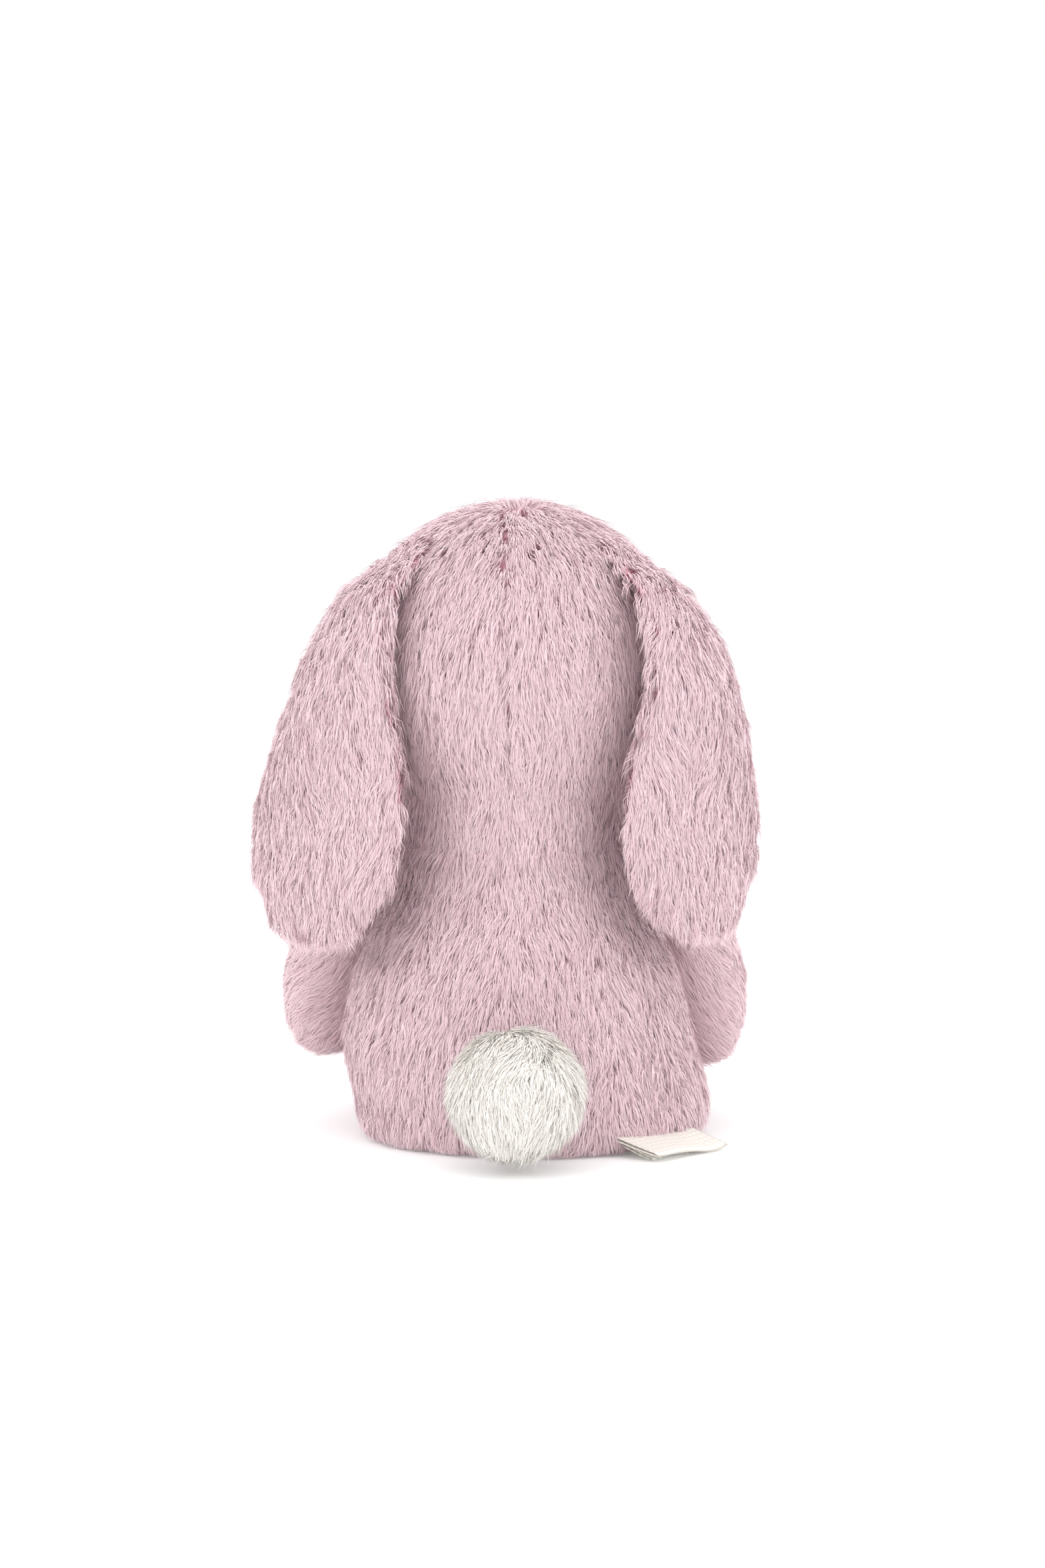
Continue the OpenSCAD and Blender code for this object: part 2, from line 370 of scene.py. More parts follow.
@dataclass(frozen=True)
class Wadding:
    """Loose polyester wadding: white, matt and cloudy."""

    name: str = "polyester_wadding"
    light: str = "#F6F5F1"
    dark: str = "#DCDAD2"
    clouds_per_metre: float = 170.0

    def material(self) -> bpy.types.Material:
        """The wadding's material, with clouds about 6 mm across.

        Returns:
            The material.
        """
        mat, tree, bsdf = start_material(self.name)
        place = add_node(tree, "ShaderNodeTexCoord")
        inputs = {"Vector": place.outputs["Object"], "Scale": self.clouds_per_metre, "Detail": 6.0}
        cloud = add_node(tree, "ShaderNodeTexNoise", inputs)
        ramp = add_node(tree, "ShaderNodeValToRGB", {0: cloud.outputs[0]})
        set_ramp(ramp, [(0.3, self.dark), (0.7, self.light)])
        tree.links.new(ramp.outputs[0], bsdf.inputs["Base Color"])
        bsdf.inputs["Roughness"].default_value = 1.0
        return mat


@dataclass(frozen=True)
class WovenRibbon:
    """Woven satin ribbon: warm white, with a fine weave across it and a low silky gloss."""

    name: str
    thread: str
    shadow: str
    pitch: float
    across: float = 0.0

    def material(self) -> bpy.types.Material:
        """The ribbon's material. A real thread is about 0.2 mm, and the pitch is coarser so that it shows.

        Returns:
            The material.
        """
        mat, tree, bsdf = start_material(self.name)
        place = add_node(tree, "ShaderNodeTexCoord")
        turn = add_node(
            tree, "ShaderNodeMapping", {"Vector": place.outputs["Object"], "Rotation": (0, 0, self.across)}
        )
        inputs = {"Vector": turn.outputs[0], "Scale": wave_scale(self.pitch)}
        weft = add_node(tree, "ShaderNodeTexWave", inputs, wave_type="BANDS", bands_direction="X")
        warp = add_node(tree, "ShaderNodeTexWave", inputs, wave_type="BANDS", bands_direction="Y")
        weave = add_node(
            tree, "ShaderNodeMath", {0: weft.outputs[1], 1: warp.outputs[1]}, operation="MULTIPLY"
        )
        ramp = add_node(tree, "ShaderNodeValToRGB", {0: weave.outputs[0]})
        set_ramp(ramp, [(0.0, self.shadow), (0.5, self.thread)])
        relief = {"Height": weave.outputs[0], "Strength": 0.25, "Distance": 0.2 * MM}
        bump = add_node(tree, "ShaderNodeBump", relief)
        tree.links.new(ramp.outputs[0], bsdf.inputs["Base Color"])
        tree.links.new(bump.outputs[0], bsdf.inputs["Normal"])
        bsdf.inputs["Roughness"].default_value = 0.45
        bsdf.inputs["Sheen Weight"].default_value = 0.2
        return mat


@dataclass(frozen=True)
class Plain:
    """A moulded or twisted material whose look is in its gloss, with a slight change of tone."""

    name: str
    light: str
    dark: str
    roughness: float
    grain: float
    sheen: float = 0.0
    coat: float = 0.0

    def material(self) -> bpy.types.Material:
        """The material, with its tone changing over patches of the size of grain.

        Returns:
            The material.
        """
        mat, tree, bsdf = start_material(self.name)
        place = add_node(tree, "ShaderNodeTexCoord")
        inputs = {"Vector": place.outputs["Object"], "Scale": 1 / self.grain, "Detail": 4.0}
        noise = add_node(tree, "ShaderNodeTexNoise", inputs)
        ramp = add_node(tree, "ShaderNodeValToRGB", {0: noise.outputs[0]})
        set_ramp(ramp, [(0.35, self.dark), (0.65, self.light)])
        tree.links.new(ramp.outputs[0], bsdf.inputs["Base Color"])
        bsdf.inputs["Roughness"].default_value = self.roughness
        bsdf.inputs["Sheen Weight"].default_value = self.sheen
        bsdf.inputs["Coat Weight"].default_value = self.coat
        bsdf.inputs["Coat Roughness"].default_value = 0.05
        return mat


@dataclass
class Finishes:
    """Every material of the rabbit, made once."""

    # each pile's first colour, at the root, is painted shade for the shadow deep in the pile
    pink_pile: bpy.types.Material = field(
        default_factory=Pile("pink_polyester_pile", "#DFA9B7", "#E7C6CE", "#EDD6DB", "#F7E9EC").material
    )
    cream_pile: bpy.types.Material = field(
        default_factory=Pile("cream_polyester_pile", "#FCF5EE", "#FBF6F0", "#FCF9F4", "#FDFBF8").material
    )
    pink_cloth: bpy.types.Material = field(
        default_factory=KnitBacking("pink_knit_backing", "#E6B2BF", "#D898A8").material
    )
    cream_cloth: bpy.types.Material = field(
        default_factory=KnitBacking("cream_knit_backing", "#FBF3E6", "#F0E4D0").material
    )
    wadding: bpy.types.Material = field(default_factory=Wadding().material)
    ribbon: bpy.types.Material = field(
        default_factory=WovenRibbon("satin_ribbon", "#F8F5EF", "#ECE6DC", 0.35 * MM, across=0.7).material
    )
    thin_ribbon: bpy.types.Material = field(
        default_factory=WovenRibbon("thin_ribbon", "#F7F5F0", "#DEDAD0", 0.4 * MM, across=0.7).material
    )
    pouch: bpy.types.Material = field(
        default_factory=WovenRibbon("calico_pouch", "#EDE7DA", "#C9C0AE", pitch=0.8 * MM).material
    )
    pellet: bpy.types.Material = field(
        default_factory=Plain("polythene_pellet", "#DFE3E6", "#C3C9CE", 0.4, 2 * MM).material
    )
    washer: bpy.types.Material = field(
        default_factory=Plain("nylon_washer", "#ECECE8", "#D8D8D2", 0.5, 3 * MM).material
    )
    eye: bpy.types.Material = field(
        default_factory=Plain("polished_acrylic_eye", "#120E0C", "#080605", 0.1, 4 * MM).material
    )
    thread: bpy.types.Material = field(
        default_factory=Plain("embroidery_thread", "#B67488", "#9C5A70", 0.42, 0.6 * MM, sheen=0.3).material
    )


# ---------------------------------------------------------------- stuffed forms


@dataclass(frozen=True)
class Spine:
    """The middle line of a stuffed form and its half width and half thickness along it.

    The line is a cubic curve with four control points. Widths and thicknesses are given at evenly
    spaced stations from the first point to the last, and fullness is 1 for an ellipsoid's ends and
    less for blunter ones.
    """

    points: tuple[Vector, Vector, Vector, Vector]
    widths: tuple[float, ...]
    thicknesses: tuple[float, ...]
    across: Vector
    fullness: float = 0.8

    def place(self, s: Points) -> Points:
        """Points on the middle line at shares s of its run.

        Args:
            s: shares of the run, from 0 to 1.

        Returns:
            The points.
        """
        a, b, c, d = (np.array(p) for p in self.points)
        s = s[:, None]
        return a * (1 - s) ** 3 + 3 * b * s * (1 - s) ** 2 + 3 * c * s**2 * (1 - s) + d * s**3

    def way(self, s: Points) -> Points:
        """The middle line's direction at shares s of its run.

        Args:
            s: shares of the run, from 0 to 1.

        Returns:
            The directions, at a length of 1.
        """
        a, b, c, d = (np.array(p) for p in self.points)
        s = s[:, None]
        return unit(3 * (b - a) * (1 - s) ** 2 + 6 * (c - b) * s * (1 - s) + 3 * (d - c) * s**2)


def ease(values: tuple[float, ...], s: Points) -> Points:
    """Values at evenly spaced stations, joined by smooth steps, at shares s of the run.

    Args:
        values: the values at the stations.
        s: shares of the run, from 0 to 1.

    Returns:
        The values at those shares.
    """
    t = np.clip(s, 0, 1) * (len(values) - 1)
    i = np.minimum(t.astype(int), len(values) - 2)
    f = t - i
    f = f * f * (3 - 2 * f)
    v = np.array(values)
    return v[i] * (1 - f) + v[i + 1] * f


class StuffedForm:
    """Makes closed, stuffed forms of cloth from a ball."""

    def __init__(self, cloth: bpy.types.Material, wadding: bpy.types.Material) -> None:
        """Keeps the two materials.

        Args:
            cloth: the backing cloth.
            wadding: the filling.
        """
        self.cloth = cloth
        self.wadding = wadding

    def ball(self, name: str, material: bpy.types.Material, detail: int) -> bpy.types.Object:
        """A ball of radius 1 made of even triangles.

        Args:
            name: the piece's name.
            material: its finish.
            detail: how finely it is divided.

        Returns:
            The ball.
        """
        bm = bmesh.new()
        bmesh.ops.create_icosphere(bm, subdivisions=detail, radius=1.0)
        return mesh_object(name, bm, material)

    def limb(self, name: str, spine: Spine, inset: float = 0.0, detail: int = 4) -> bpy.types.Object:
        """A stuffed form along a spine.

        Args:
            name: the piece's name.
            spine: its middle line and sizes.
            inset: how far it is drawn in all round, as a filling is.
            detail: how finely it is divided.

        Returns:
            The closed form.
        """
        obj = self.ball(name, self.wadding if inset else self.cloth, detail)
        co = coordinates(obj)
        s = (1 - co[:, 2]) / 2
        ring = np.hypot(co[:, 0], co[:, 1])
        turn = np.arctan2(co[:, 1], co[:, 0])
        blunt = ring**spine.fullness
        middle, way = spine.place(s), spine.way(s)
        across = along_surface(np.tile(np.array(spine.across), (len(s), 1)), way)
        out = np.cross(way, across)
        width = np.maximum(ease(spine.widths, s) - inset, 0.2 * MM) * blunt
        thick = np.maximum(ease(spine.thicknesses, s) - inset, 0.2 * MM) * blunt
        shape = middle + across * (np.cos(turn) * width)[:, None] + out * (np.sin(turn) * thick)[:, None]
        shape -= way * (inset * np.sign(s - 0.5) * np.abs(2 * s - 1) ** 4)[:, None]
        move_points(obj, shape)
        return self.turned_out(obj)

    def round_form(
        self, name: str, shape: Callable[[Points], Points], inside: bool = False, detail: int = 5
    ) -> bpy.types.Object:
        """A stuffed form made from a ball by a rule.

        Args:
            name: the piece's name.
            shape: turns the ball's points to the form's.
            inside: whether it is a filling.
            detail: how finely it is divided.

        Returns:
            The closed form.
        """
        obj = self.ball(name, self.wadding if inside else self.cloth, detail)
        move_points(obj, shape(coordinates(obj)))
        return self.turned_out(obj)

    def turned_out(self, obj: bpy.types.Object) -> bpy.types.Object:
        """Makes sure that a closed form's faces point outwards.

        Args:
            obj: the form.

        Returns:
            The same form.
        """
        bm = bmesh.new()
        bm.from_mesh(obj.data)
        bmesh.ops.recalc_face_normals(bm, faces=bm.faces)
        bm.to_mesh(obj.data)
        bm.free()
        obj.data.update()
        return obj


# ---------------------------------------------------------------- pile


@dataclass(frozen=True)
class PileCut:
    """How pile is cut and brushed.

    Attributes:
        per_mm2: strands on each square millimetre of cloth.
        length: a strand's length.
        width: a strand's width at its root.
        lift: how far the tips stand off the cloth, from 0, flat, to 1, upright.
        tuft: the radius of a tuft.
        in_tuft: strands in a tuft.
        gather: how far the tips of a tuft draw together.
        stray: how far each strand wanders from its tuft.
        swirl: how far tufts wander from the combing.
        softness: how much the strands are lit as the cloth under them is, rather than each by itself.
    """

    per_mm2: float = 5.4
    length: float = 8.5 * MM
    width: float = 0.25 * MM
    lift: float = 0.28
    tuft: float = 1.2 * MM
    in_tuft: int = 10
    gather: float = 0.36
    stray: float = 0.1
    swirl: float = 0.22
    softness: float = 3.6


@dataclass
class PileCoat:
    """Grows pile on a stuffed form as one mesh of tapered strands."""

    cut: PileCut
    material: bpy.types.Material

    def roots(
        self, skin: bpy.types.Object, rng: np.random.Generator, keep: Field | None
    ) -> tuple[Points, Points]:
        """Spreads tufts over a form.

        Args:
            skin: the form.
            rng: the source of chance.
            keep: how much of the pile's length stays at a point, with its normal; 0 is bare.

        Returns:
            The tufts' places and their normals.
        """
        mesh = skin.data
        mesh.calc_loop_triangles()
        tri = np.empty(len(mesh.loop_triangles) * 3, np.int32)
        mesh.loop_triangles.foreach_get("vertices", tri)
        co = coordinates(skin)
        no = np.empty(len(mesh.vertices) * 3, np.float32)
        mesh.vertices.foreach_get("normal", no)
        no = no.reshape(-1, 3).astype(float)
        a, b, c = (tri.reshape(-1, 3)[:, i] for i in range(3))
        area = np.linalg.norm(np.cross(co[b] - co[a], co[c] - co[a]), axis=1) / 2
        if keep is not None:
            kept = keep(co, no) > BARE
            area = area * (kept[a] | kept[b] | kept[c])
        total = area.sum()
        count = int(total / MM**2 * self.cut.per_mm2 / self.cut.in_tuft)
        pick = (np.arange(count) + rng.random(count)) / count * total
        face = np.minimum(np.searchsorted(np.cumsum(area), pick), len(area) - 1)
        u, v = rng.random((2, count, 1))
        u, v = np.where(u + v > 1, 1 - u, u), np.where(u + v > 1, 1 - v, v)
        a, b, c = a[face], b[face], c[face]
        place = co[a] + u * (co[b] - co[a]) + v * (co[c] - co[a])
        return place, unit(no[a] * (1 - u - v) + no[b] * u + no[c] * v)

    def grow(
        self, name: str, skin: bpy.types.Object, comb: Field, keep: Field | None = None, seed: int = 1
    ) -> bpy.types.Object:
        """Grows the pile of one form, or of the part of it that keep leaves.

        Args:
            name: the pile's name.
            skin: the form it grows on.
            comb: the direction it is brushed, for points and normals.
            keep: how much of the length stays, for points and normals; 0 is bare.
            seed: which pile.

        Returns:
            One object that holds every strand.
        """
        rng = np.random.default_rng(seed)
        cut, k = self.cut, self.cut.in_tuft
        centre, normal = self.roots(skin, rng, keep)
        trim = np.ones(len(centre)) if keep is None else keep(centre, normal)
        grown = trim > BARE
        centre, normal, trim = centre[grown], normal[grown], trim[grown]
        n_tufts = len(centre)
        combed = along_surface(comb(centre, normal) + cut.swirl * waves(centre, 16 * MM, 50), normal)
        combed = along_surface(combed + cut.swirl * 0.6 * rng.normal(size=(n_tufts, 3)), normal)
        lift = cut.lift * rng.uniform(0.75, 1.3, (n_tufts, 1))
        # pile that faces up is brushed flatter
        lift *= 1 - 0.35 * smooth(normal[:, 2:], 0.3, 0.9)
        lean = unit(normal * lift + combed * np.sqrt(np.maximum(1 - lift**2, 0.05)))
        side = np.cross(normal, combed)
        # strands stand in a disc round the tuft's middle, and their tips draw together
        turn = rng.uniform(0, 2 * math.pi, (n_tufts, k, 1))
        far = cut.tuft * np.sqrt(rng.random((n_tufts, k, 1)))
        off = far * (np.cos(turn) * side[:, None] + np.sin(turn) * combed[:, None])
        base = np.broadcast_to(normal[:, None], off.shape)
        way = unit(lean[:, None] + cut.stray * rng.normal(size=off.shape))
        length = cut.length * trim[:, None, None] * rng.uniform(0.72, 1.12, (n_tufts, k, 1))
        length = length * rng.uniform(0.85, 1.1, (n_tufts, 1, 1))
        root = centre[:, None] + off - base * 0.3 * MM
        middle = centre[:, None] + off * (1 - 0.35 * cut.gather) + 0.5 * length * unit(way + base * 0.5)
        tip = centre[:, None] + off * (1 - cut.gather) + length * way
        flat = unit(np.cross(way, base))
        roll = rng.uniform(-0.7, 0.7, (n_tufts, k, 1))
        flat = flat * np.cos(roll) + np.cross(way, flat) * np.sin(roll)
        half = 0.5 * cut.width * rng.uniform(0.75, 1.25, (n_tufts, k, 1)) * flat
        points = np.stack([root - half, root + half, middle + half * 0.85, middle - half * 0.85, tip], axis=2)
        # strands that reach the table lie along it
        low, z = 1.5 * MM, points[..., 2]
        points[..., 2] = np.where(z < low, low * np.exp(np.minimum(z - low, 0) / low), z)
        shade = rng.normal(0.55, 0.13, (n_tufts, 1)) + rng.normal(0, 0.13, (n_tufts, k))
        facing = unit(np.cross(flat, way) + cut.softness * base).reshape(-1, 3)
        return self.strands(name, points.reshape(-1, 3), np.clip(shade, 0.02, 0.98).ravel(), facing)

    def strands(self, name: str, points: Points, shade: Points, facing: Points) -> bpy.types.Object:
        """Copies one strand, a blade of a quad and a triangle, to every place.

        Args:
            name: the pile's name.
            points: five points for each strand: two at the root, two half way and the tip.
            shade: a value from 0 to 1 for each strand.
            facing: the direction in which each strand is lit.

        Returns:
            The pile.
        """
        blade = np.array([0, 1, 2, 3, 3, 2, 4], np.int32)
        runs = np.array([0, 0, 0.5, 0.5, 0.5, 0.5, 1.0])
        n = len(shade)
        mesh = bpy.data.meshes.new(name)
        mesh.vertices.add(5 * n)
        mesh.vertices.foreach_set("co", points.astype(np.float32).ravel())
        mesh.loops.add(7 * n)
        each = np.arange(n, dtype=np.int32)[:, None]
        mesh.loops.foreach_set("vertex_index", (blade[None] + 5 * each).ravel())
        mesh.polygons.add(2 * n)
        starts = (np.array([0, 4], np.int32)[None] + 7 * each).ravel()
        mesh.polygons.foreach_set("loop_start", starts)
        layer = mesh.uv_layers.new(name=PILE_MAP)
        place = np.empty((n, 7, 2), np.float32)
        place[:, :, 0] = 0.02 + 0.96 * runs
        place[:, :, 1] = shade[:, None]
        layer.uv.foreach_set("vector", place.ravel())
        mesh.materials.append(self.material)
        mesh.update(calc_edges=True)
        mesh.polygons.foreach_set("use_smooth", np.ones(2 * n, bool))
        mesh.normals_split_custom_set_from_vertices(np.repeat(facing, 5, axis=0))
        obj = bpy.data.objects.new(name, mesh)
        bpy.context.scene.collection.objects.link(obj)
        return obj


def sector(index: int, count: int) -> Callable[[Points], Points]:
    """One of several equal sectors round the upright axis.

    Args:
        index: which sector, from 0.
        count: how many there are.

    Returns:
        A rule that says whether each point is in the sector.
    """

    def rule(p: Points) -> Points:
        """Whether each point is in the sector."""
        turn = np.arctan2(p[:, 1], p[:, 0]) / (2 * math.pi) % 1
        return np.floor(turn * count) == index

    return rule


def part_of(keep: Field | None, inside: Callable[[Points], Points]) -> Field:
    """Limits pile to where inside is true.

    Args:
        keep: how much of the length stays, or None for all of it.
        inside: whether each point is in the stretch.

    Returns:
        A rule for how much of the length stays.
    """

    def rule(p: Points, n: Points) -> Points:
        """The share of the length that stays at each point."""
        left = np.ones(len(p)) if keep is None else keep(p, n)
        return left * inside(p)

    return rule


# ---------------------------------------------------------------- sub-assemblies


@dataclass
class Workshop:
    """What every sub-assembly is made with."""

    frame: dict
    finishes: Finishes

    def padded_form(
        self,
        skin: bpy.types.Object,
        core: bpy.types.Object,
        body: str,
        slot: str,
        nodes: list[str],
        fillings: list[str],
    ) -> None:
        """Joins a stuffed form and its filling to their body, and hides the CAD nodes that they stand for.

        Args:
            skin: the sewn form.
            core: its filling.
            body: the CAD body that they move with.
            slot: not used.
            nodes: the CAD nodes that the form stands for.
            fillings: the CAD nodes that the filling stands for.
        """
        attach(skin, body)
        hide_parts(*nodes)
        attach(core, body)
        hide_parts(*fillings)
        log.info("form %s on %s, for %s", skin.name, body, ", ".join(nodes))

    def coat(self, pile: bpy.types.Object, body: str, slot: str) -> None:
        """Joins a coat of pile to its body.

        Args:
            pile: the coat.
            body: the CAD body that it moves with.
            slot: not used.
        """
        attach(pile, body)
        log.info("pile %s on %s, %d strands", pile.name, body, len(pile.data.polygons) // 2)


@dataclass
class Head:
    """The head: two panels in one form, a filling and the pile.

    Attributes:
        shop: what it is made with.
        rise: how far the pile stands out past the cloth.
        socket: the radius of the hollow underside, which the torso's round top fits.
        seam: how far the seam down the back lies from the middle.
        seam_depth: how far the seam draws the cloth in.
        muzzle: how far the muzzle stands out.
        eye_rise: how far the cloth comes up to the eyes, in millimetres.
        face_clear: how far round the eyes and the nose the pile is trimmed.
        half_height: half the head's height.
        neck_edge: the height where the head's pile ends.
        neck_full: the height above which it has its full length.
        crown: the point that the pile is brushed away from.
        nape: radii of the back, in millimetres, from the head's middle down to its foot.
        chin: the same for the front.
    """

    shop: Workshop
    rise: float = 3.6 * MM
    socket: float = 28.5 * MM
    seam: float = 2.5 * MM
    seam_depth: float = 0.6 * MM
    muzzle: float = 5.5 * MM
    eye_rise: float = 3.2
    face_clear: float = 6.5 * MM
    half_height: float = 46 * MM
    neck_edge: float = 99.5 * MM
    neck_full: float = 109 * MM
    crown: Vector = field(default_factory=lambda: Vector((0.0, 12 * MM, 200 * MM)))
    nape: tuple[float, ...] = (50, 49.6, 48.4, 46.3, 43.6, 40.6, 38.2, 36.8)
    chin: tuple[float, ...] = (50, 49.4, 47.6, 44.6, 40.6, 36.2, 33.0, 31.5)

    def __post_init__(self) -> None:
        """Takes the head's place and size from its CAD panels."""
        low, high = node_box("head_left_panel", "head_right_panel")
        self.radius = (high.x - low.x) / 2
        self.neck = np.array(joint_at(self.shop.frame, "neck_nod"))
        self.centre = Vector(((low.x + high.x) / 2, (low.y + high.y) / 2, high.z - self.half_height))
        corners = (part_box("left_eye"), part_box("right_eye"))
        self.eyes = [np.array((low + high) / 2) for low, high in corners]

    def shape(self, inset: float) -> Callable[[Points], Points]:
        """The rule that turns a ball to the head.

        Args:
            inset: how far the form lies inside the pile's outside.

        Returns:
            The rule.
        """

        def rule(co: Points) -> Points:
            """The head's points.

            Args:
                co: points on a ball of radius 1.

            Returns:
                The points.
            """
            turn = np.arctan2(co[:, 1], co[:, 0])
            share, reach = with_underside(co[:, 2])
            tall = self.half_height - inset
            z = -self.half_height + share * (self.half_height + tall)
            dome = self.radius * np.sqrt(np.clip(1 - (z / tall) ** 2, 0, 1))
            # below its middle the back of the head runs on into the neck, and the chin tucks in
            down = -z / self.half_height
            nape = ease(self.nape, down) * MM
            chin = ease(self.chin, down) * MM
            back = smooth(np.sin(turn), -0.6, 0.3)
            above = z > 0
            r = np.where(above, dome, chin * (1 - back) + nape * back)
            r = (r - inset * np.where(above, dome / self.radius, 1)) * reach
            p = np.stack([r * np.cos(turn), r * np.sin(turn), z], axis=1)
            p *= 1 + 0.012 * waves(co * 0.05, 0.05, 7)[:, :1]
            # the seam down the middle of the back draws the cloth in
            seam = np.exp(-(((p[:, 0] - self.seam) / (2.2 * MM)) ** 2)) * smooth(co[:, 1], 0.05, 0.35)
            p[:, 1] -= self.seam_depth * seam * smooth(co[:, 2], -0.5, 0.0)
            # a small muzzle
            way = unit(co) @ unit(np.array([[0.0, -1.0, -0.2]])).T
            p[:, 1] -= self.muzzle * smooth(way[:, 0], 0.88, 1.0)
            outward = unit(p)
            p += np.array(self.centre)
            # the cloth comes up to the eyes
            for eye in self.eyes:
                near = smooth(np.linalg.norm(p - eye, axis=1), 12 * MM, 6 * MM)
                p += outward * self.eye_rise * MM * near[:, None]
            # the underside is a hollow that the torso's round top fits
            from_neck = p - np.array(self.neck)
            far = np.linalg.norm(from_neck, axis=1, keepdims=True)
            hollow = self.socket + inset
            return np.where(far < hollow, self.neck + from_neck * hollow / np.maximum(far, MM), p)

        return rule

    def filling(self, co: Points) -> Points:
        """Turns a ball to the filling, which is the head drawn in towards its middle.

        Args:
            co: points on a ball of radius 1.

        Returns:
            The filling's points.
        """
        middle = np.array(self.centre)
        return middle + (self.shape(self.rise)(co) - middle) * 0.94

    def comb(self, p: Points, n: Points) -> Points:
        """Pile lies away from the crown and down, parted along the seam at the back of the crown.

        Args:
            p: points on the cloth.
            n: the normals there.

        Returns:
            The direction that the pile is brushed.
        """
        out = unit(p - np.array(self.crown))
        off = p[:, 0] - self.seam
        part = np.sign(off) * np.exp(-np.abs(off) / (5 * MM)) * smooth(p[:, 1], 0.0, 0.02)
        high = smooth(p[:, 2], self.centre.z + 10 * MM, self.centre.z + 40 * MM)
        way = out * (0.35 + 0.65 * high)[:, None]
        way[:, 2] -= 1.1
        way[:, 0] += part * (0.2 + 0.25 * high)
        return way

    def keep(self, p: Points, n: Points) -> Points:
        """Pile is short round the eyes and nose, and stops where the head meets the neck.

        Args:
            p: points on the cloth.
            n: the normals there.

        Returns:
            The share of the pile's length that stays.
        """
        left = np.ones(len(p))
        for node in ("left_eye", "right_eye", "nose"):
            low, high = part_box(node)
            spot = np.array([(low.x + high.x) / 2, low.y, (low.z + high.z) / 2])
            distance = np.linalg.norm(p - spot, axis=1)
            left *= 0.3 + 0.7 * smooth(distance, self.face_clear * 0.6, self.face_clear * 1.8)
        face = smooth(p[:, 1], -20 * MM, -38 * MM)
        left *= 1 - 0.3 * face
        seam = np.exp(-(((p[:, 0] - self.seam) / (1.3 * MM)) ** 2)) * smooth(p[:, 1], 0, 20 * MM)
        left *= 1 - 0.3 * seam * smooth(p[:, 2], 108 * MM, 124 * MM)
        edge = 0.45 + 0.55 * smooth(p[:, 2], self.neck_edge, self.neck_full)
        return left * edge * (p[:, 2] > self.neck_edge)

    def build(self) -> None:
        """Builds the head's pieces."""
        forms = StuffedForm(self.shop.finishes.pink_cloth, self.shop.finishes.wadding)
        skin = forms.round_form("head_panels", self.shape(self.rise))
        core = forms.round_form("head_wadding", self.filling, inside=True, detail=4)
        self.shop.padded_form(
            skin, core, "head", "pink_pile", ["head_left_panel", "head_right_panel"], ["head_filling"]
        )
        coat = PileCoat(PileCut(), self.shop.finishes.pink_pile)
        for i in range(4):
            rule = part_of(self.keep, sector(i, 4))
            pile = coat.grow(f"head_pile_{i + 1}", skin, self.comb, rule, seed=11 + i)
            self.shop.coat(pile, "head", "pink_pile")


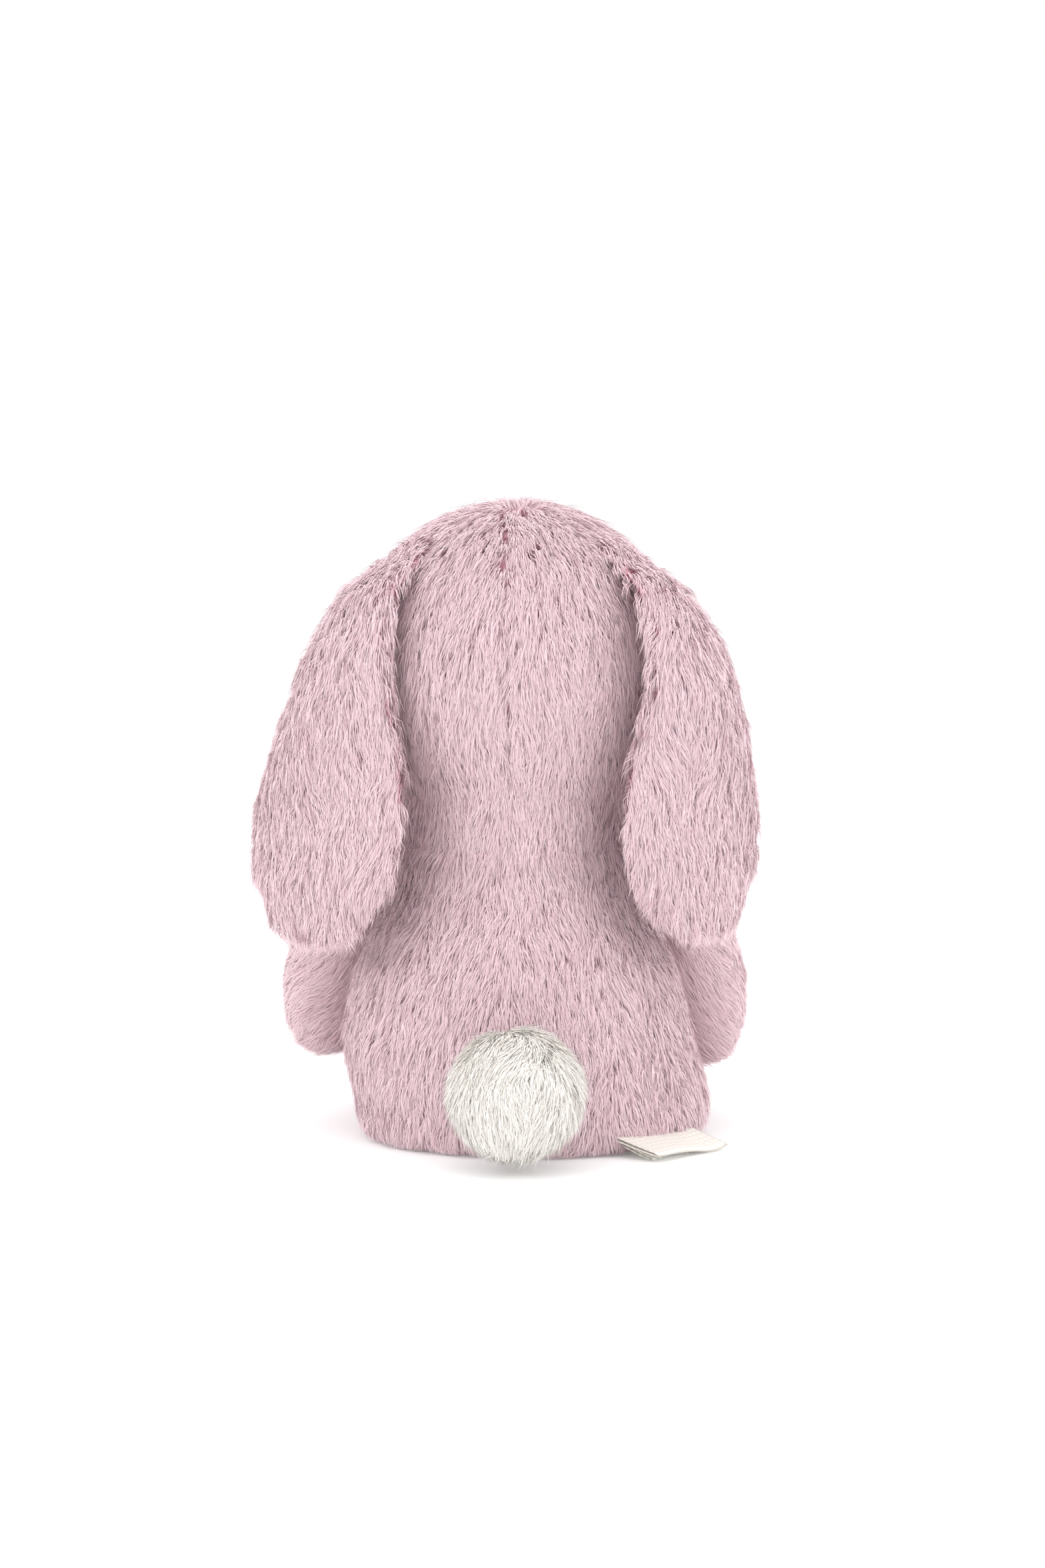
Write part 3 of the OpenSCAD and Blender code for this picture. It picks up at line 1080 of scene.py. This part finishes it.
@dataclass
class Torso:
    """The torso: back and belly panels, a seat, and a filling with a pouch of pellets.

    Attributes:
        shop: what it is made with.
        rise: how far the pile stands out past the cloth.
        slump: how far the seat leans to the right.
        step: the height between two stations.
        drawn: the radius that the stations are drawn for.
        stations: half widths out to the pile's outside, in millimetres, from the table up.
        neck_foot: not used.
        neck_top: not used.
        ring: the ring's radii, in millimetres, from its foot up.
        ring_heights: the heights of the ring's foot and top.
    """

    shop: Workshop
    rise: float = 3.6 * MM
    slump: float = 4.5 * MM
    step: float = 10 * MM
    drawn: float = 53 * MM
    stations: tuple[float, ...] = (
        53.0, 53.5, 53.5, 52.5, 50.5, 48.0, 44.0, 39.5, 36.5, 35.5, 35.5, 36.0, 36.0,
    )
    neck_foot: float = 84 * MM
    neck_top: float = 112 * MM
    ring: tuple[float, ...] = (29.0, 30.5, 31.3, 31.6, 31.8, 32.0, 32.4, 33.0, 33.6, 33.6, 32.6, 31.0)
    ring_heights: tuple[float, float] = (74 * MM, 118 * MM)

    def __post_init__(self) -> None:
        """Takes the torso's place and size from its CAD panels."""
        low, high = node_box("torso_back_panel", "torso_belly_panel", "seat_panel")
        self.radius = (high.x - low.x) / 2
        self.neck = joint_at(self.shop.frame, "neck_nod")
        self.neck_radius = high.z - self.neck.z

    def radius_at(self, z: Points) -> Points:
        """The torso's half width at heights z, out to the pile's outside."""
        share = z / (self.step * (len(self.stations) - 1))
        return ease(tuple(v * MM * self.radius / self.drawn for v in self.stations), share)

    def shape(self, inset: float) -> Callable[[Points], Points]:
        """The rule that turns a ball to the torso.

        Args:
            inset: how far the form lies inside the pile's outside.

        Returns:
            The rule.
        """

        def rule(co: Points) -> Points:
            """The torso's points.

            Args:
                co: points on a ball of radius 1.

            Returns:
                The points.
            """
            bottom, top = inset * 0.25, self.neck.z + self.neck_radius - inset
            share, reach = with_underside(co[:, 2])
            z = bottom + share * (top - bottom)
            dome = np.sqrt(np.clip((self.neck_radius - inset) ** 2 - (z - self.neck.z) ** 2, 0, None))
            turn = np.arctan2(co[:, 1], co[:, 0])
            # the seat's edge is rounder under the belly than at the back
            belly = smooth(-np.sin(turn), -0.3, 0.6)
            r = self.radius_at(z) - inset - 3 * MM * smooth(z, 6 * MM, 1 * MM)
            r -= 4 * MM * belly * smooth(z, 16 * MM, 0)
            r = np.where(z > self.neck.z, np.minimum(r, dome), r * reach)
            p = np.stack([r * np.cos(turn), r * np.sin(turn), z], axis=1)
            p[:, :2] *= 1 + 0.012 * waves(co * 0.05, 0.045, 3)[:, :1]
            p[:, 0] -= self.slump * smooth(z, 34 * MM, 6 * MM)
            return p

        return rule

    def comb(self, p: Points, n: Points) -> Points:
        """Pile lies down, and fans out to the sides towards the seat.

        Args:
            p: points on the cloth.
            n: the normals there.

        Returns:
            The direction that the pile is brushed.
        """
        out = p * np.array([1, 1, 0])
        way = unit(out) * (0.1 + 0.45 * smooth(p[:, 2], 45 * MM, 5 * MM))[:, None]
        way[:, 2] -= 1.0
        return way

    def keep(self, p: Points, n: Points) -> Points:
        """Pile is pressed flat under the seat and stops under the neck's own pile.

        Args:
            p: points on the cloth.
            n: the normals there.

        Returns:
            The share of the pile's length that stays.
        """
        left = 1 - 0.85 * smooth(n[:, 2], -0.6, -0.9)
        return left * (n[:, 2] > -0.95) * (p[:, 2] < 96 * MM)

    def build(self) -> None:
        """Builds the torso's pieces."""
        finishes = self.shop.finishes
        forms = StuffedForm(finishes.pink_cloth, finishes.wadding)
        skin = forms.round_form("torso_panels", self.shape(self.rise))
        core = forms.round_form("torso_wadding", self.shape(self.rise + 2 * MM), inside=True, detail=4)
        self.shop.padded_form(
            skin, core, "torso", "pink_pile",
            ["torso_back_panel", "torso_belly_panel", "seat_panel"], ["torso_filling"],
        )
        coat = PileCoat(PileCut(), finishes.pink_pile)
        for i in range(4):
            rule = part_of(self.keep, sector(i, 4))
            pile = coat.grow(f"torso_pile_{i + 1}", skin, self.comb, rule, seed=21 + i)
            self.shop.coat(pile, "torso", "pink_pile")
        self.neck_pile()
        for node, material in (("bean_bag", finishes.pouch), ("bean_pellets", finishes.pellet)):
            self.shop.frame["nodes"][node].data.materials.clear()
            self.shop.frame["nodes"][node].data.materials.append(material)

    def neck_pile(self) -> None:
        """A padded ring of cloth and pile between the torso and the head."""
        heights = np.linspace(*self.ring_heights, len(self.ring))
        outer = ease(self.ring, np.linspace(0, 1, len(self.ring))) * MM
        profile = list(zip(outer, heights))
        profile += [(r - 5 * MM, z) for r, z in reversed(profile)]
        bm = bmesh.new()
        verts = [bm.verts.new((0, r, z)) for r, z in profile]
        edges = [bm.edges.new((a, b)) for a, b in zip(verts, verts[1:] + verts[:1])]
        bmesh.ops.spin(
            bm, geom=verts + edges, cent=(0, 0, 0), axis=(0, 0, 1), angle=2 * math.pi, steps=96,
            use_merge=True,
        )
        bmesh.ops.recalc_face_normals(bm, faces=bm.faces)
        skin = mesh_object("neck_ring", bm, self.shop.finishes.pink_cloth)
        points = coordinates(skin)
        waist = smooth(points[:, 2], 80 * MM, 90 * MM) * smooth(points[:, 2], 110 * MM, 96 * MM)
        points[:, 1] *= 1 + 0.04 * waist * smooth(points[:, 1], 0, 20 * MM)
        move_points(skin, points)

        def outside(p: Points, n: Points) -> Points:
            """Pile is on the ring's outer face, away from its rims.

            Args:
                p: points on the cloth.
                n: the normals there.

            Returns:
                The share of the pile's length that stays.
            """
            outward = np.sum(unit(p * np.array([1, 1, 0])) * n, axis=1) > 0.25
            return outward * smooth(p[:, 2], 80 * MM, 88 * MM) * smooth(p[:, 2], 112 * MM, 104 * MM)

        pile = PileCoat(PileCut(), self.shop.finishes.pink_pile).grow(
            "neck_pile", skin, self.comb, outside, seed=29
        )
        for piece in (skin, pile):
            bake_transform(piece)
        log.info("neck ring and pile between torso and head")


@dataclass
class Ear:
    """One hanging ear: a pile-covered outer face and a short-piled lining.

    Attributes:
        shop: what it is made with.
        side: its side.
        width: a factor on its width.
        drift: a factor on how far it hangs towards the front.
        tip: how far its tip is above the CAD ear's lowest point.
        puff: how much further it stands off the body at each station, in millimetres.
        heights: how far each station is below the ear's top, in millimetres.
        stands: how far each station is from the body's middle, in millimetres.
        fronts: how far each station is turned to the front, in millimetres.
        widths: half widths, in millimetres.
        thicks: half thicknesses, in millimetres.
        rise: how far the pile stands out past the cloth.
        above: how far the ear's top is above its joint.
    """

    shop: Workshop
    side: Side
    width: float = 1.0
    drift: float = 1.0
    tip: float = 0.0
    puff: tuple[float, ...] = (0, 2, 1, 0, 0, 0, 1, 2.5, 2.5)
    heights: tuple[float, ...] = (0, 14, 29, 44, 59, 73.5, 88, 103, 117.5)
    stands: tuple[float, ...] = (30, 49, 56.5, 58.5, 58.5, 58, 57, 56, 55)
    fronts: tuple[float, ...] = (9, 11, 14, 18.5, 22.5, 25.2, 27, 28.5, 31)
    widths: tuple[float, ...] = (8, 9.5, 12, 16.7, 21.6, 25.5, 28, 30, 27)
    thicks: tuple[float, ...] = (3, 4, 5, 5, 5, 5, 5, 5, 5)
    rise: float = 2.6 * MM
    above: float = 6.5 * MM

    def __post_init__(self) -> None:
        """Takes the ear's place and directions from its joint and its CAD nodes."""
        word = self.side.word
        self.nodes = [f"{word}_ear_back", f"{word}_ear_lining"]
        self.root = joint_at(self.shop.frame, f"{word}_ear_lift")
        self.out = np.array(Vector((self.root.x, self.root.y, 0)).normalized())
        self.front = np.cross(self.out, np.array([0.0, 0.0, 1.0])) * self.side.value
        low, _ = node_box(*self.nodes)
        self.fall = (self.root.z + self.above - low.z - self.rise - self.tip) / self.heights[-1]

    def rule(self, co: Points) -> Points:
        """Turns a ball to the ear: down from the seam, broad, thin and bent round the body.

        Args:
            co: points on a ball of radius 1.

        Returns:
            The ear's points.
        """
        s = (1 - co[:, 2]) / 2
        blunt = np.hypot(co[:, 0], co[:, 1]) ** 0.5
        turn = np.arctan2(co[:, 1], co[:, 0])
        z = self.root.z + self.above - ease(self.heights, s) * self.fall
        across = np.cos(turn) * blunt
        half = ease(self.widths, s) * MM * self.width
        front = ease(self.fronts, s) * MM * self.drift + across * half
        stand = (ease(self.stands, s) + ease(self.puff, s)) * MM
        stand += np.sin(turn) * blunt * ease(self.thicks, s) * MM
        stand -= 5.0 * MM * across**2 * smooth(s, 0.15, 0.6)
        stand += 1.2 * MM * waves(co * 0.05, 0.05, 9)[:, 0] * smooth(s, 0.1, 0.5)
        up = np.array([0.0, 0.0, 1.0])
        return self.out * stand[:, None] + self.front * front[:, None] + up * z[:, None]

    def comb(self, p: Points, n: Points) -> Points:
        """Pile lies along the ear, from its root to its tip.

        Args:
            p: points on the cloth.
            n: the normals there.

        Returns:
            The direction that the pile is brushed.
        """
        high = smooth(p[:, 2], self.root.z - 16 * MM, self.root.z + 6 * MM)
        way = self.out * (0.05 + 0.9 * high)[:, None]
        way[:, 2] -= 1.0
        return way

    def keep(self, p: Points, n: Points) -> Points:
        """Pile is short on the lining, which faces the body.

        Args:
            p: points on the cloth.
            n: the normals there.

        Returns:
            The share of the pile's length that stays.
        """
        inner = smooth(n @ self.out, -0.4, -0.8)
        seam = smooth(p[:, 2], self.root.z - 12 * MM, self.root.z)
        facing_head = smooth(n @ self.out, 0.1, -0.3)
        return (1 - 0.5 * inner) * (1 - 0.2 * seam) * (1 - 0.6 * seam * facing_head)

    def build(self) -> None:
        """Builds the ear's pieces."""
        word = self.side.word
        forms = StuffedForm(self.shop.finishes.pink_cloth, self.shop.finishes.wadding)
        skin = forms.round_form(f"{word}_ear_cloth", self.rule)
        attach(skin, f"{word}_ear")
        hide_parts(*self.nodes)
        coat = PileCoat(PileCut(), self.shop.finishes.pink_pile)
        pile = coat.grow(f"{word}_ear_pile", skin, self.comb, self.keep, seed=31 + self.side.value)
        self.shop.coat(pile, f"{word}_ear", "pink_pile")


@dataclass
class Arm:
    """One arm with a round paw, hanging from its shoulder seam.

    Attributes:
        shop: what it is made with.
        side: its side.
        outward: how far the paw lies outside the CAD arm's.
        drop: how far it lies below it.
        shoulder_radius: the radius at the shoulder, out to the pile's outside.
        paw_radius: the same at the paw.
        rise: how far the pile stands out past the cloth.
        draw: how far the seam draws the arm's top against the body.
    """

    shop: Workshop
    side: Side
    outward: float = 3 * MM
    drop: float = 3.5 * MM
    shoulder_radius: float = 14.0 * MM
    paw_radius: float = 17.5 * MM
    rise: float = 3.1 * MM
    draw: float = 4 * MM

    def __post_init__(self) -> None:
        """Takes the arm's ends from its joint and its CAD nodes."""
        word = self.side.word
        self.nodes = [f"{word}_arm_outer_panel", f"{word}_arm_inner_panel"]
        self.shoulder = joint_at(self.shop.frame, f"{word}_shoulder")
        low, high = node_box(*self.nodes)
        r = self.paw_radius
        outer = high.x - r if self.side is Side.LEFT else low.x + r
        self.paw = Vector((outer + self.outward * self.side.value, low.y + r, low.z + r - self.drop))

    def spine(self) -> Spine:
        """The arm's middle line, from above the shoulder to below the paw.

        Returns:
            The line, with its sizes.
        """
        way = (self.paw - self.shoulder).normalized()
        a = self.shoulder - way * (self.shoulder_radius - self.rise)
        a.x -= self.draw * self.side.value
        d = self.paw + way * (self.paw_radius - self.rise)
        run = d - a
        sh, pa = self.shoulder_radius - self.rise, self.paw_radius - self.rise
        sizes = (sh, sh, 0.5 * sh + 0.5 * pa, pa, pa)
        return Spine((a, a + run / 3, a + run * 2 / 3, d), sizes, sizes, Vector((0, 1, 0)), fullness=0.75)

    def comb(self, p: Points, n: Points) -> Points:
        """Pile lies along the arm to the paw, away from a whorl that the body hides.

        Args:
            p: points on the cloth.
            n: the normals there.

        Returns:
            The direction that the pile is brushed.
        """
        outward = Vector((0.7 * self.side.value, 0, 0))
        return np.tile(np.array((self.paw - self.shoulder).normalized() + outward), (len(p), 1))

    def build(self) -> None:
        """Builds the arm's pieces."""
        word = self.side.word
        forms = StuffedForm(self.shop.finishes.pink_cloth, self.shop.finishes.wadding)
        skin = forms.limb(f"{word}_arm_panels", self.spine())
        core = forms.limb(f"{word}_arm_wadding", self.spine(), inset=2 * MM)
        body = f"{word}_arm"
        self.shop.padded_form(skin, core, body, "pink_pile", self.nodes, [f"{word}_arm_filling"])
        coat = PileCoat(PileCut(length=8 * MM, softness=1.4), self.shop.finishes.pink_pile)
        pile = coat.grow(f"{word}_arm_pile", skin, self.comb, seed=41 + self.side.value)
        self.shop.coat(pile, body, "pink_pile")


@dataclass
class Leg:
    """One leg, stretched out in front, with a flat sole.

    Attributes:
        shop: what it is made with.
        side: its side.
        thigh_radius: the radius at the hip, out to the pile's outside.
        foot_radius: the same at the foot.
        rise: how far the pile stands out past the cloth.
        splay: how far the foot points outwards.
        reach: how far the middle of the foot is in front of the hip.
    """

    shop: Workshop
    side: Side
    thigh_radius: float = 19.0 * MM
    foot_radius: float = 20.5 * MM
    rise: float = 3.1 * MM
    splay: float = 4 * MM
    reach: float = 29 * MM

    def __post_init__(self) -> None:
        """Takes the leg's ends from its joint and its CAD nodes."""
        word = self.side.word
        self.nodes = [f"{word}_leg_skin", f"{word}_foot_sole"]
        self.hip = joint_at(self.shop.frame, f"{word}_hip")
        low, _ = node_box(*self.nodes)
        self.toe_y = low.y
        outward = self.splay * self.side.value
        self.foot = Vector((self.hip.x + outward, self.hip.y - self.reach, self.hip.z))

    def spine(self) -> Spine:
        """The leg's middle line, from inside the hip to the toes.

        Returns:
            The line, with its sizes.
        """
        way = (self.foot - self.hip).normalized()
        a = self.hip - way * (self.thigh_radius - self.rise)
        d = Vector((self.foot.x, self.toe_y + self.rise * 0.6, self.foot.z))
        run = d - a
        th, ft = self.thigh_radius - self.rise, self.foot_radius - self.rise
        sizes = (th, th, 0.5 * (th + ft), ft, ft)
        return Spine((a, a + run / 3, a + run * 2 / 3, d), sizes, sizes, Vector((1, 0, 0)), fullness=0.5)

    def comb(self, p: Points, n: Points) -> Points:
        """Pile lies along the leg to the toes, and down over the sole.

        Args:
            p: points on the cloth.
            n: the normals there.

        Returns:
            The direction that the pile is brushed.
        """
        way = np.tile(np.array((self.foot - self.hip).normalized()), (len(p), 1))
        way[:, 2] -= 0.25 + 0.9 * smooth(-n[:, 1], 0.4, 0.9)
        return way

    def keep(self, p: Points, n: Points) -> Points:
        """Pile is short on the sole and under the leg.

        Args:
            p: points on the cloth.
            n: the normals there.

        Returns:
            The share of the pile's length that stays.
        """
        sole = smooth(-n[:, 1], 0.75, 0.92)
        under = smooth(-n[:, 2], 0.7, 0.95)
        return 1 - np.maximum(0.25 * sole, 0.6 * under)

    def build(self) -> None:
        """Builds the leg's pieces."""
        word = self.side.word
        forms = StuffedForm(self.shop.finishes.pink_cloth, self.shop.finishes.wadding)
        skin = forms.limb(f"{word}_leg_form", self.spine())
        core = forms.limb(f"{word}_leg_wadding", self.spine(), inset=2 * MM)
        body = f"{word}_leg"
        self.shop.padded_form(skin, core, body, "pink_pile", self.nodes, [f"{word}_leg_filling"])
        coat = PileCoat(PileCut(length=7.5 * MM), self.shop.finishes.pink_pile)
        pile = coat.grow(f"{word}_leg_pile", skin, self.comb, self.keep, seed=51 + self.side.value)
        self.shop.coat(pile, body, "pink_pile")


@dataclass
class Tail:
    """The pompom tail: a small stuffed ball with longer cream pile.

    Attributes:
        shop: what it is made with.
        rise: how far the pile stands out past the cloth.
        sewn_in: how far its thread draws it against the body.
        lift: how far it sits above the CAD tail.
        cut: how its pile is cut and brushed.
    """

    shop: Workshop
    rise: float = 5.0 * MM
    sewn_in: float = 2.5 * MM
    lift: float = 1.0 * MM
    cut: PileCut = PileCut(
        per_mm2=12.0, length=8 * MM, width=0.3 * MM, lift=0.4, tuft=2.4 * MM, in_tuft=16, gather=0.1,
        swirl=0.2, stray=0.12, softness=20.0,
    )

    def build(self) -> None:
        """Builds the tail's pieces."""
        low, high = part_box("tail_cover")
        centre = np.array((low + high) / 2) + np.array([0, -self.sewn_in, self.lift])
        radius = (high.x - low.x) / 2
        forms = StuffedForm(self.shop.finishes.cream_cloth, self.shop.finishes.wadding)
        skin = forms.round_form("tail_ball", lambda co: centre + co * (radius - self.rise), detail=4)
        core = forms.round_form(
            "tail_wadding", lambda co: centre + co * (radius - self.rise - 2 * MM), inside=True, detail=4
        )
        self.shop.padded_form(skin, core, "tail", "cream_pile", ["tail_cover"], ["tail_filling"])

        def comb(p: Points, n: Points) -> Points:
            """Pile lies in swirls, away from the side that faces the body and down.

            Args:
                p: points on the cloth.
                n: the normals there.

            Returns:
                The direction that the pile is brushed.
            """
            way = 0.25 * waves(p, 22 * MM, 5)
            way[:, 1] += 0.4
            way[:, 2] -= 1.0
            return way

        pile = PileCoat(self.cut, self.shop.finishes.cream_pile).grow("tail_pile", skin, comb, seed=61)
        self.shop.coat(pile, "tail", "cream_pile")


@dataclass
class Face:
    """Eyes with their washers, and a nose and mouth of satin stitches.

    Attributes:
        shop: what it is made with.
        threads: stitches in the nose.
        thread: half the thickness of the nose's thread.
        mouth_thread: the same for the mouth's.
    """

    shop: Workshop
    threads: int = 13
    thread: float = 0.42 * MM
    mouth_thread: float = 0.5 * MM

    def stitch(self, bm: bmesh.types.BMesh, a: Vector, b: Vector, radius: float) -> None:
        """Adds one stitch: a thread with round ends from a to b.

        Args:
            bm: the stitches so far.
            a: one end.
            b: the other end.
            radius: half the thread's thickness.
        """
        made = bmesh.ops.create_uvsphere(bm, u_segments=8, v_segments=6, radius=radius)
        run = b - a
        stretch = Matrix.Diagonal((1, 1, (run.length / 2 + radius) / radius, 1))
        place = Matrix.Translation((a + b) / 2) @ run.to_track_quat("Z", "Y").to_matrix().to_4x4() @ stretch
        bmesh.ops.transform(bm, matrix=place, verts=made["verts"])

    def build(self) -> None:
        """Builds the face's pieces."""
        finishes, nodes = self.shop.finishes, self.shop.frame["nodes"]
        for side in Side:
            for end, material in (("eye", finishes.eye), ("eye_washer", finishes.washer)):
                node = f"{side.word}_{end}"
                nodes[node].data.materials.clear()
                nodes[node].data.materials.append(material)
        low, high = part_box("nose")
        half, y = (high.x - low.x) / 2, low.y + 1.2 * MM
        bm = bmesh.new()
        for i in range(self.threads):
            t = 2 * i / (self.threads - 1) - 1
            x = t * (half - self.thread)
            top = high.z - 0.8 * MM * t * t
            bottom = low.z + (high.z - low.z) * 0.8 * abs(t) ** 1.2
            bulge = 1.1 * MM * (1 - t * t)
            start, end = Vector((x, y - bulge, top)), Vector((x * 0.55, y - bulge * 0.6, bottom))
            self.stitch(bm, start, end, self.thread)
        pad = mesh_object("stitched_nose", bm, finishes.thread)
        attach(pad, "head")
        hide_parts("nose")
        low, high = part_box("mouth_thread")
        y = low.y + 0.2 * MM
        middle, fork = (low.x + high.x) / 2, low.z + 3.6 * MM
        bm = bmesh.new()
        meeting = Vector((middle, y + 0.8 * MM, fork))
        self.stitch(bm, Vector((middle, y, high.z + 1 * MM)), meeting, self.mouth_thread)
        for end in (low.x, high.x):
            corner = Vector((middle + (end - middle) * 0.55, y + 1.2 * MM, fork - 2.2 * MM))
            self.stitch(bm, meeting, corner, self.mouth_thread)
            self.stitch(bm, corner, Vector((end, y + 2.4 * MM, fork - 2.4 * MM)), self.mouth_thread)
        mouth = mesh_object("stitched_mouth", bm, finishes.thread)
        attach(mouth, "head")
        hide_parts("mouth_thread")
        log.info("face: eyes, washers, nose and mouth")


@dataclass
class Label:
    """A folded ribbon label in the seat's seam, with a thinner ribbon under it. It is blank.

    Attributes:
        shop: what it is made with.
        width: the label's width along the seam.
        length: how far it stands out of the seam, half its flat length.
        thick: the ribbon's thickness.
        tucked: how far its ends lie inside the seam.
        narrower: how much narrower the ribbon under it is.
        shorter: how much less that one stands out.
    """

    shop: Workshop
    width: float = 32 * MM
    length: float = 22 * MM
    thick: float = 0.28 * MM
    tucked: float = 1.5 * MM
    narrower: float = 5 * MM
    shorter: float = 4 * MM

    def ribbon(
        self, name: str, width: float, length: float, drop: float, curl: float, material: bpy.types.Material
    ) -> bpy.types.Object:
        """One ribbon, folded in two across its length.

        Args:
            name: the piece's name.
            width: its width along the seam.
            length: how far it stands out of the seam.
            drop: how far it lies under the joint's axis.
            curl: how far its free corners lift.
            material: its finish.

        Returns:
            The ribbon.
        """
        joint = next(j for j in self.shop.frame["joints"] if j["name"] == "label_flap")
        seam, axis = Vector(joint["pos_m"]), Vector(joint["axis"])
        out = Vector((0, 0, 1)).cross(axis)
        fall = seam.z - 1.3 * MM
        bm = bmesh.new()
        bmesh.ops.create_grid(bm, x_segments=24, y_segments=24, size=0.5)
        for v in bm.verts:
            # the cloth goes out on top, turns at the fold and comes back underneath
            t, u = v.co.x + 0.5, v.co.y
            along = 1 - abs(2 * t - 1)
            over = 1 if t < 0.5 else -1
            gap = 0.55 * MM * (1 - 0.3 * along) * over * min(1.0, (1 - along) * 12)
            wave = 0.9 * MM * math.sin(5.2 * u + 0.6) * along + curl * (abs(u) * 2) ** 3 * along
            height = -drop - fall * along**0.8 + wave + gap
            v.co = seam + out * (along * length - self.tucked) + axis * (u * width)
            v.co += Vector((0, 0, 1)) * height
        obj = mesh_object(name, bm, material)
        thicken = obj.modifiers.new("thickness", "SOLIDIFY")
        thicken.thickness = self.thick
        thicken.offset = 0.0
        return obj

    def build(self) -> None:
        """Builds the two ribbons."""
        finishes = self.shop.finishes
        wide, long = self.width, self.length
        less_wide, less_long = wide - self.narrower, long - self.shorter
        top = self.ribbon("folded_label", wide, long, 0.2 * MM, 1.2 * MM, finishes.ribbon)
        under = self.ribbon(
            "folded_care_label", less_wide, less_long, 1.3 * MM, 0.2 * MM, finishes.thin_ribbon
        )
        for piece, node, size in (
            (top, "sewn_label", (wide, 2 * long)),
            (under, "care_label", (less_wide, 2 * less_long)),
        ):
            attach(piece, "label")
            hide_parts(node)
        log.info("label: two folded ribbons")


# ---------------------------------------------------------------- studio


@dataclass
class Studio:
    """A white floor, soft light from all round and a camera behind the rabbit."""

    distance: float = 1.2
    lens: float = 92.0
    elevation: float = math.radians(4.6)
    aim: Vector = field(default_factory=lambda: Vector((-1.8 * MM, 0.0, 105 * MM)))

    def build(self) -> None:
        """Builds the floor, the lights and the camera."""
        self.floor()
        self.sky()
        self.lamp("key", Vector((1.2, 0.8, 0.8)), 1.2, 7.0)
        self.lamp("fill", Vector((-1.3, 0.7, 0.7)), 1.2, 7.0)
        self.lamp("front", Vector((0.3, -1.3, 1.0)), 1.2, 7.0)
        self.lamp("top", Vector((0.0, 0.5, 1.6)), 1.4, 5.5)
        self.camera()
        bpy.context.scene.view_settings.view_transform = "Standard"

    def floor(self) -> None:
        """A wide white floor of painted board, with a faint mottle."""
        bm = bmesh.new()
        bmesh.ops.create_grid(bm, x_segments=1, y_segments=1, size=6.0)
        mat = Plain("painted_board", "#FBFBFB", "#F9F9F9", 0.9, 0.4).material()
        glow = mat.node_tree.nodes["Principled BSDF"]
        glow.inputs["Emission Color"].default_value = (1, 1, 1, 1)
        glow.inputs["Emission Strength"].default_value = 0.12
        mesh_object("floor", bm, mat)

    def sky(self) -> None:
        """Even white light from all round."""
        world = bpy.data.worlds.new("studio")
        world.use_nodes = True
        world.node_tree.nodes["Background"].inputs[0].default_value = (1, 1, 1, 1)
        world.node_tree.nodes["Background"].inputs[1].default_value = 1.0
        bpy.context.scene.world = world

    def lamp(self, name: str, place: Vector, size: float, power: float) -> None:
        """One large square lamp that faces the rabbit.

        Args:
            name: the lamp's name.
            place: where it hangs.
            size: its side.
            power: its power in watts.
        """
        data = bpy.data.lights.new(name, "AREA")
        data.size, data.energy = size, power
        obj = bpy.data.objects.new(name, data)
        obj.location = place
        obj.rotation_euler = (self.aim - place).to_track_quat("-Z", "Y").to_euler()
        bpy.context.scene.collection.objects.link(obj)

    def camera(self) -> None:
        """A long lens, level with the rabbit's middle and a little above it."""
        data = bpy.data.cameras.new("camera")
        data.lens, data.sensor_width = self.lens, 36.0
        data.clip_end = 20.0
        obj = bpy.data.objects.new("camera", data)
        back = Vector((0, math.cos(self.elevation), math.sin(self.elevation)))
        obj.location = self.aim + back * self.distance
        obj.rotation_euler = (-back).to_track_quat("-Z", "Y").to_euler()
        bpy.context.scene.collection.objects.link(obj)
        bpy.context.scene.camera = obj


def main() -> None:
    """Builds the rabbit and its studio, in order."""
    logging.basicConfig(level=logging.INFO, format="%(message)s")
    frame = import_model()
    shop = Workshop(frame, Finishes())
    Studio().build()
    Head(shop).build()
    Torso(shop).build()
    Face(shop).build()
    Ear(shop, Side.LEFT).build()
    right_puff = (0, 4, 5.5, 5, 3.5, 1.5, 0.5, 1, 1)
    Ear(shop, Side.RIGHT, width=0.87, drift=0.8, tip=2 * MM, puff=right_puff).build()
    Arm(shop, Side.LEFT, outward=2 * MM, drop=3 * MM).build()
    Arm(shop, Side.RIGHT, outward=1 * MM, drop=6 * MM).build()
    for side in Side:
        Leg(shop, side).build()
    Tail(shop).build()
    Label(shop).build()


if __name__ == "__main__":
    main()
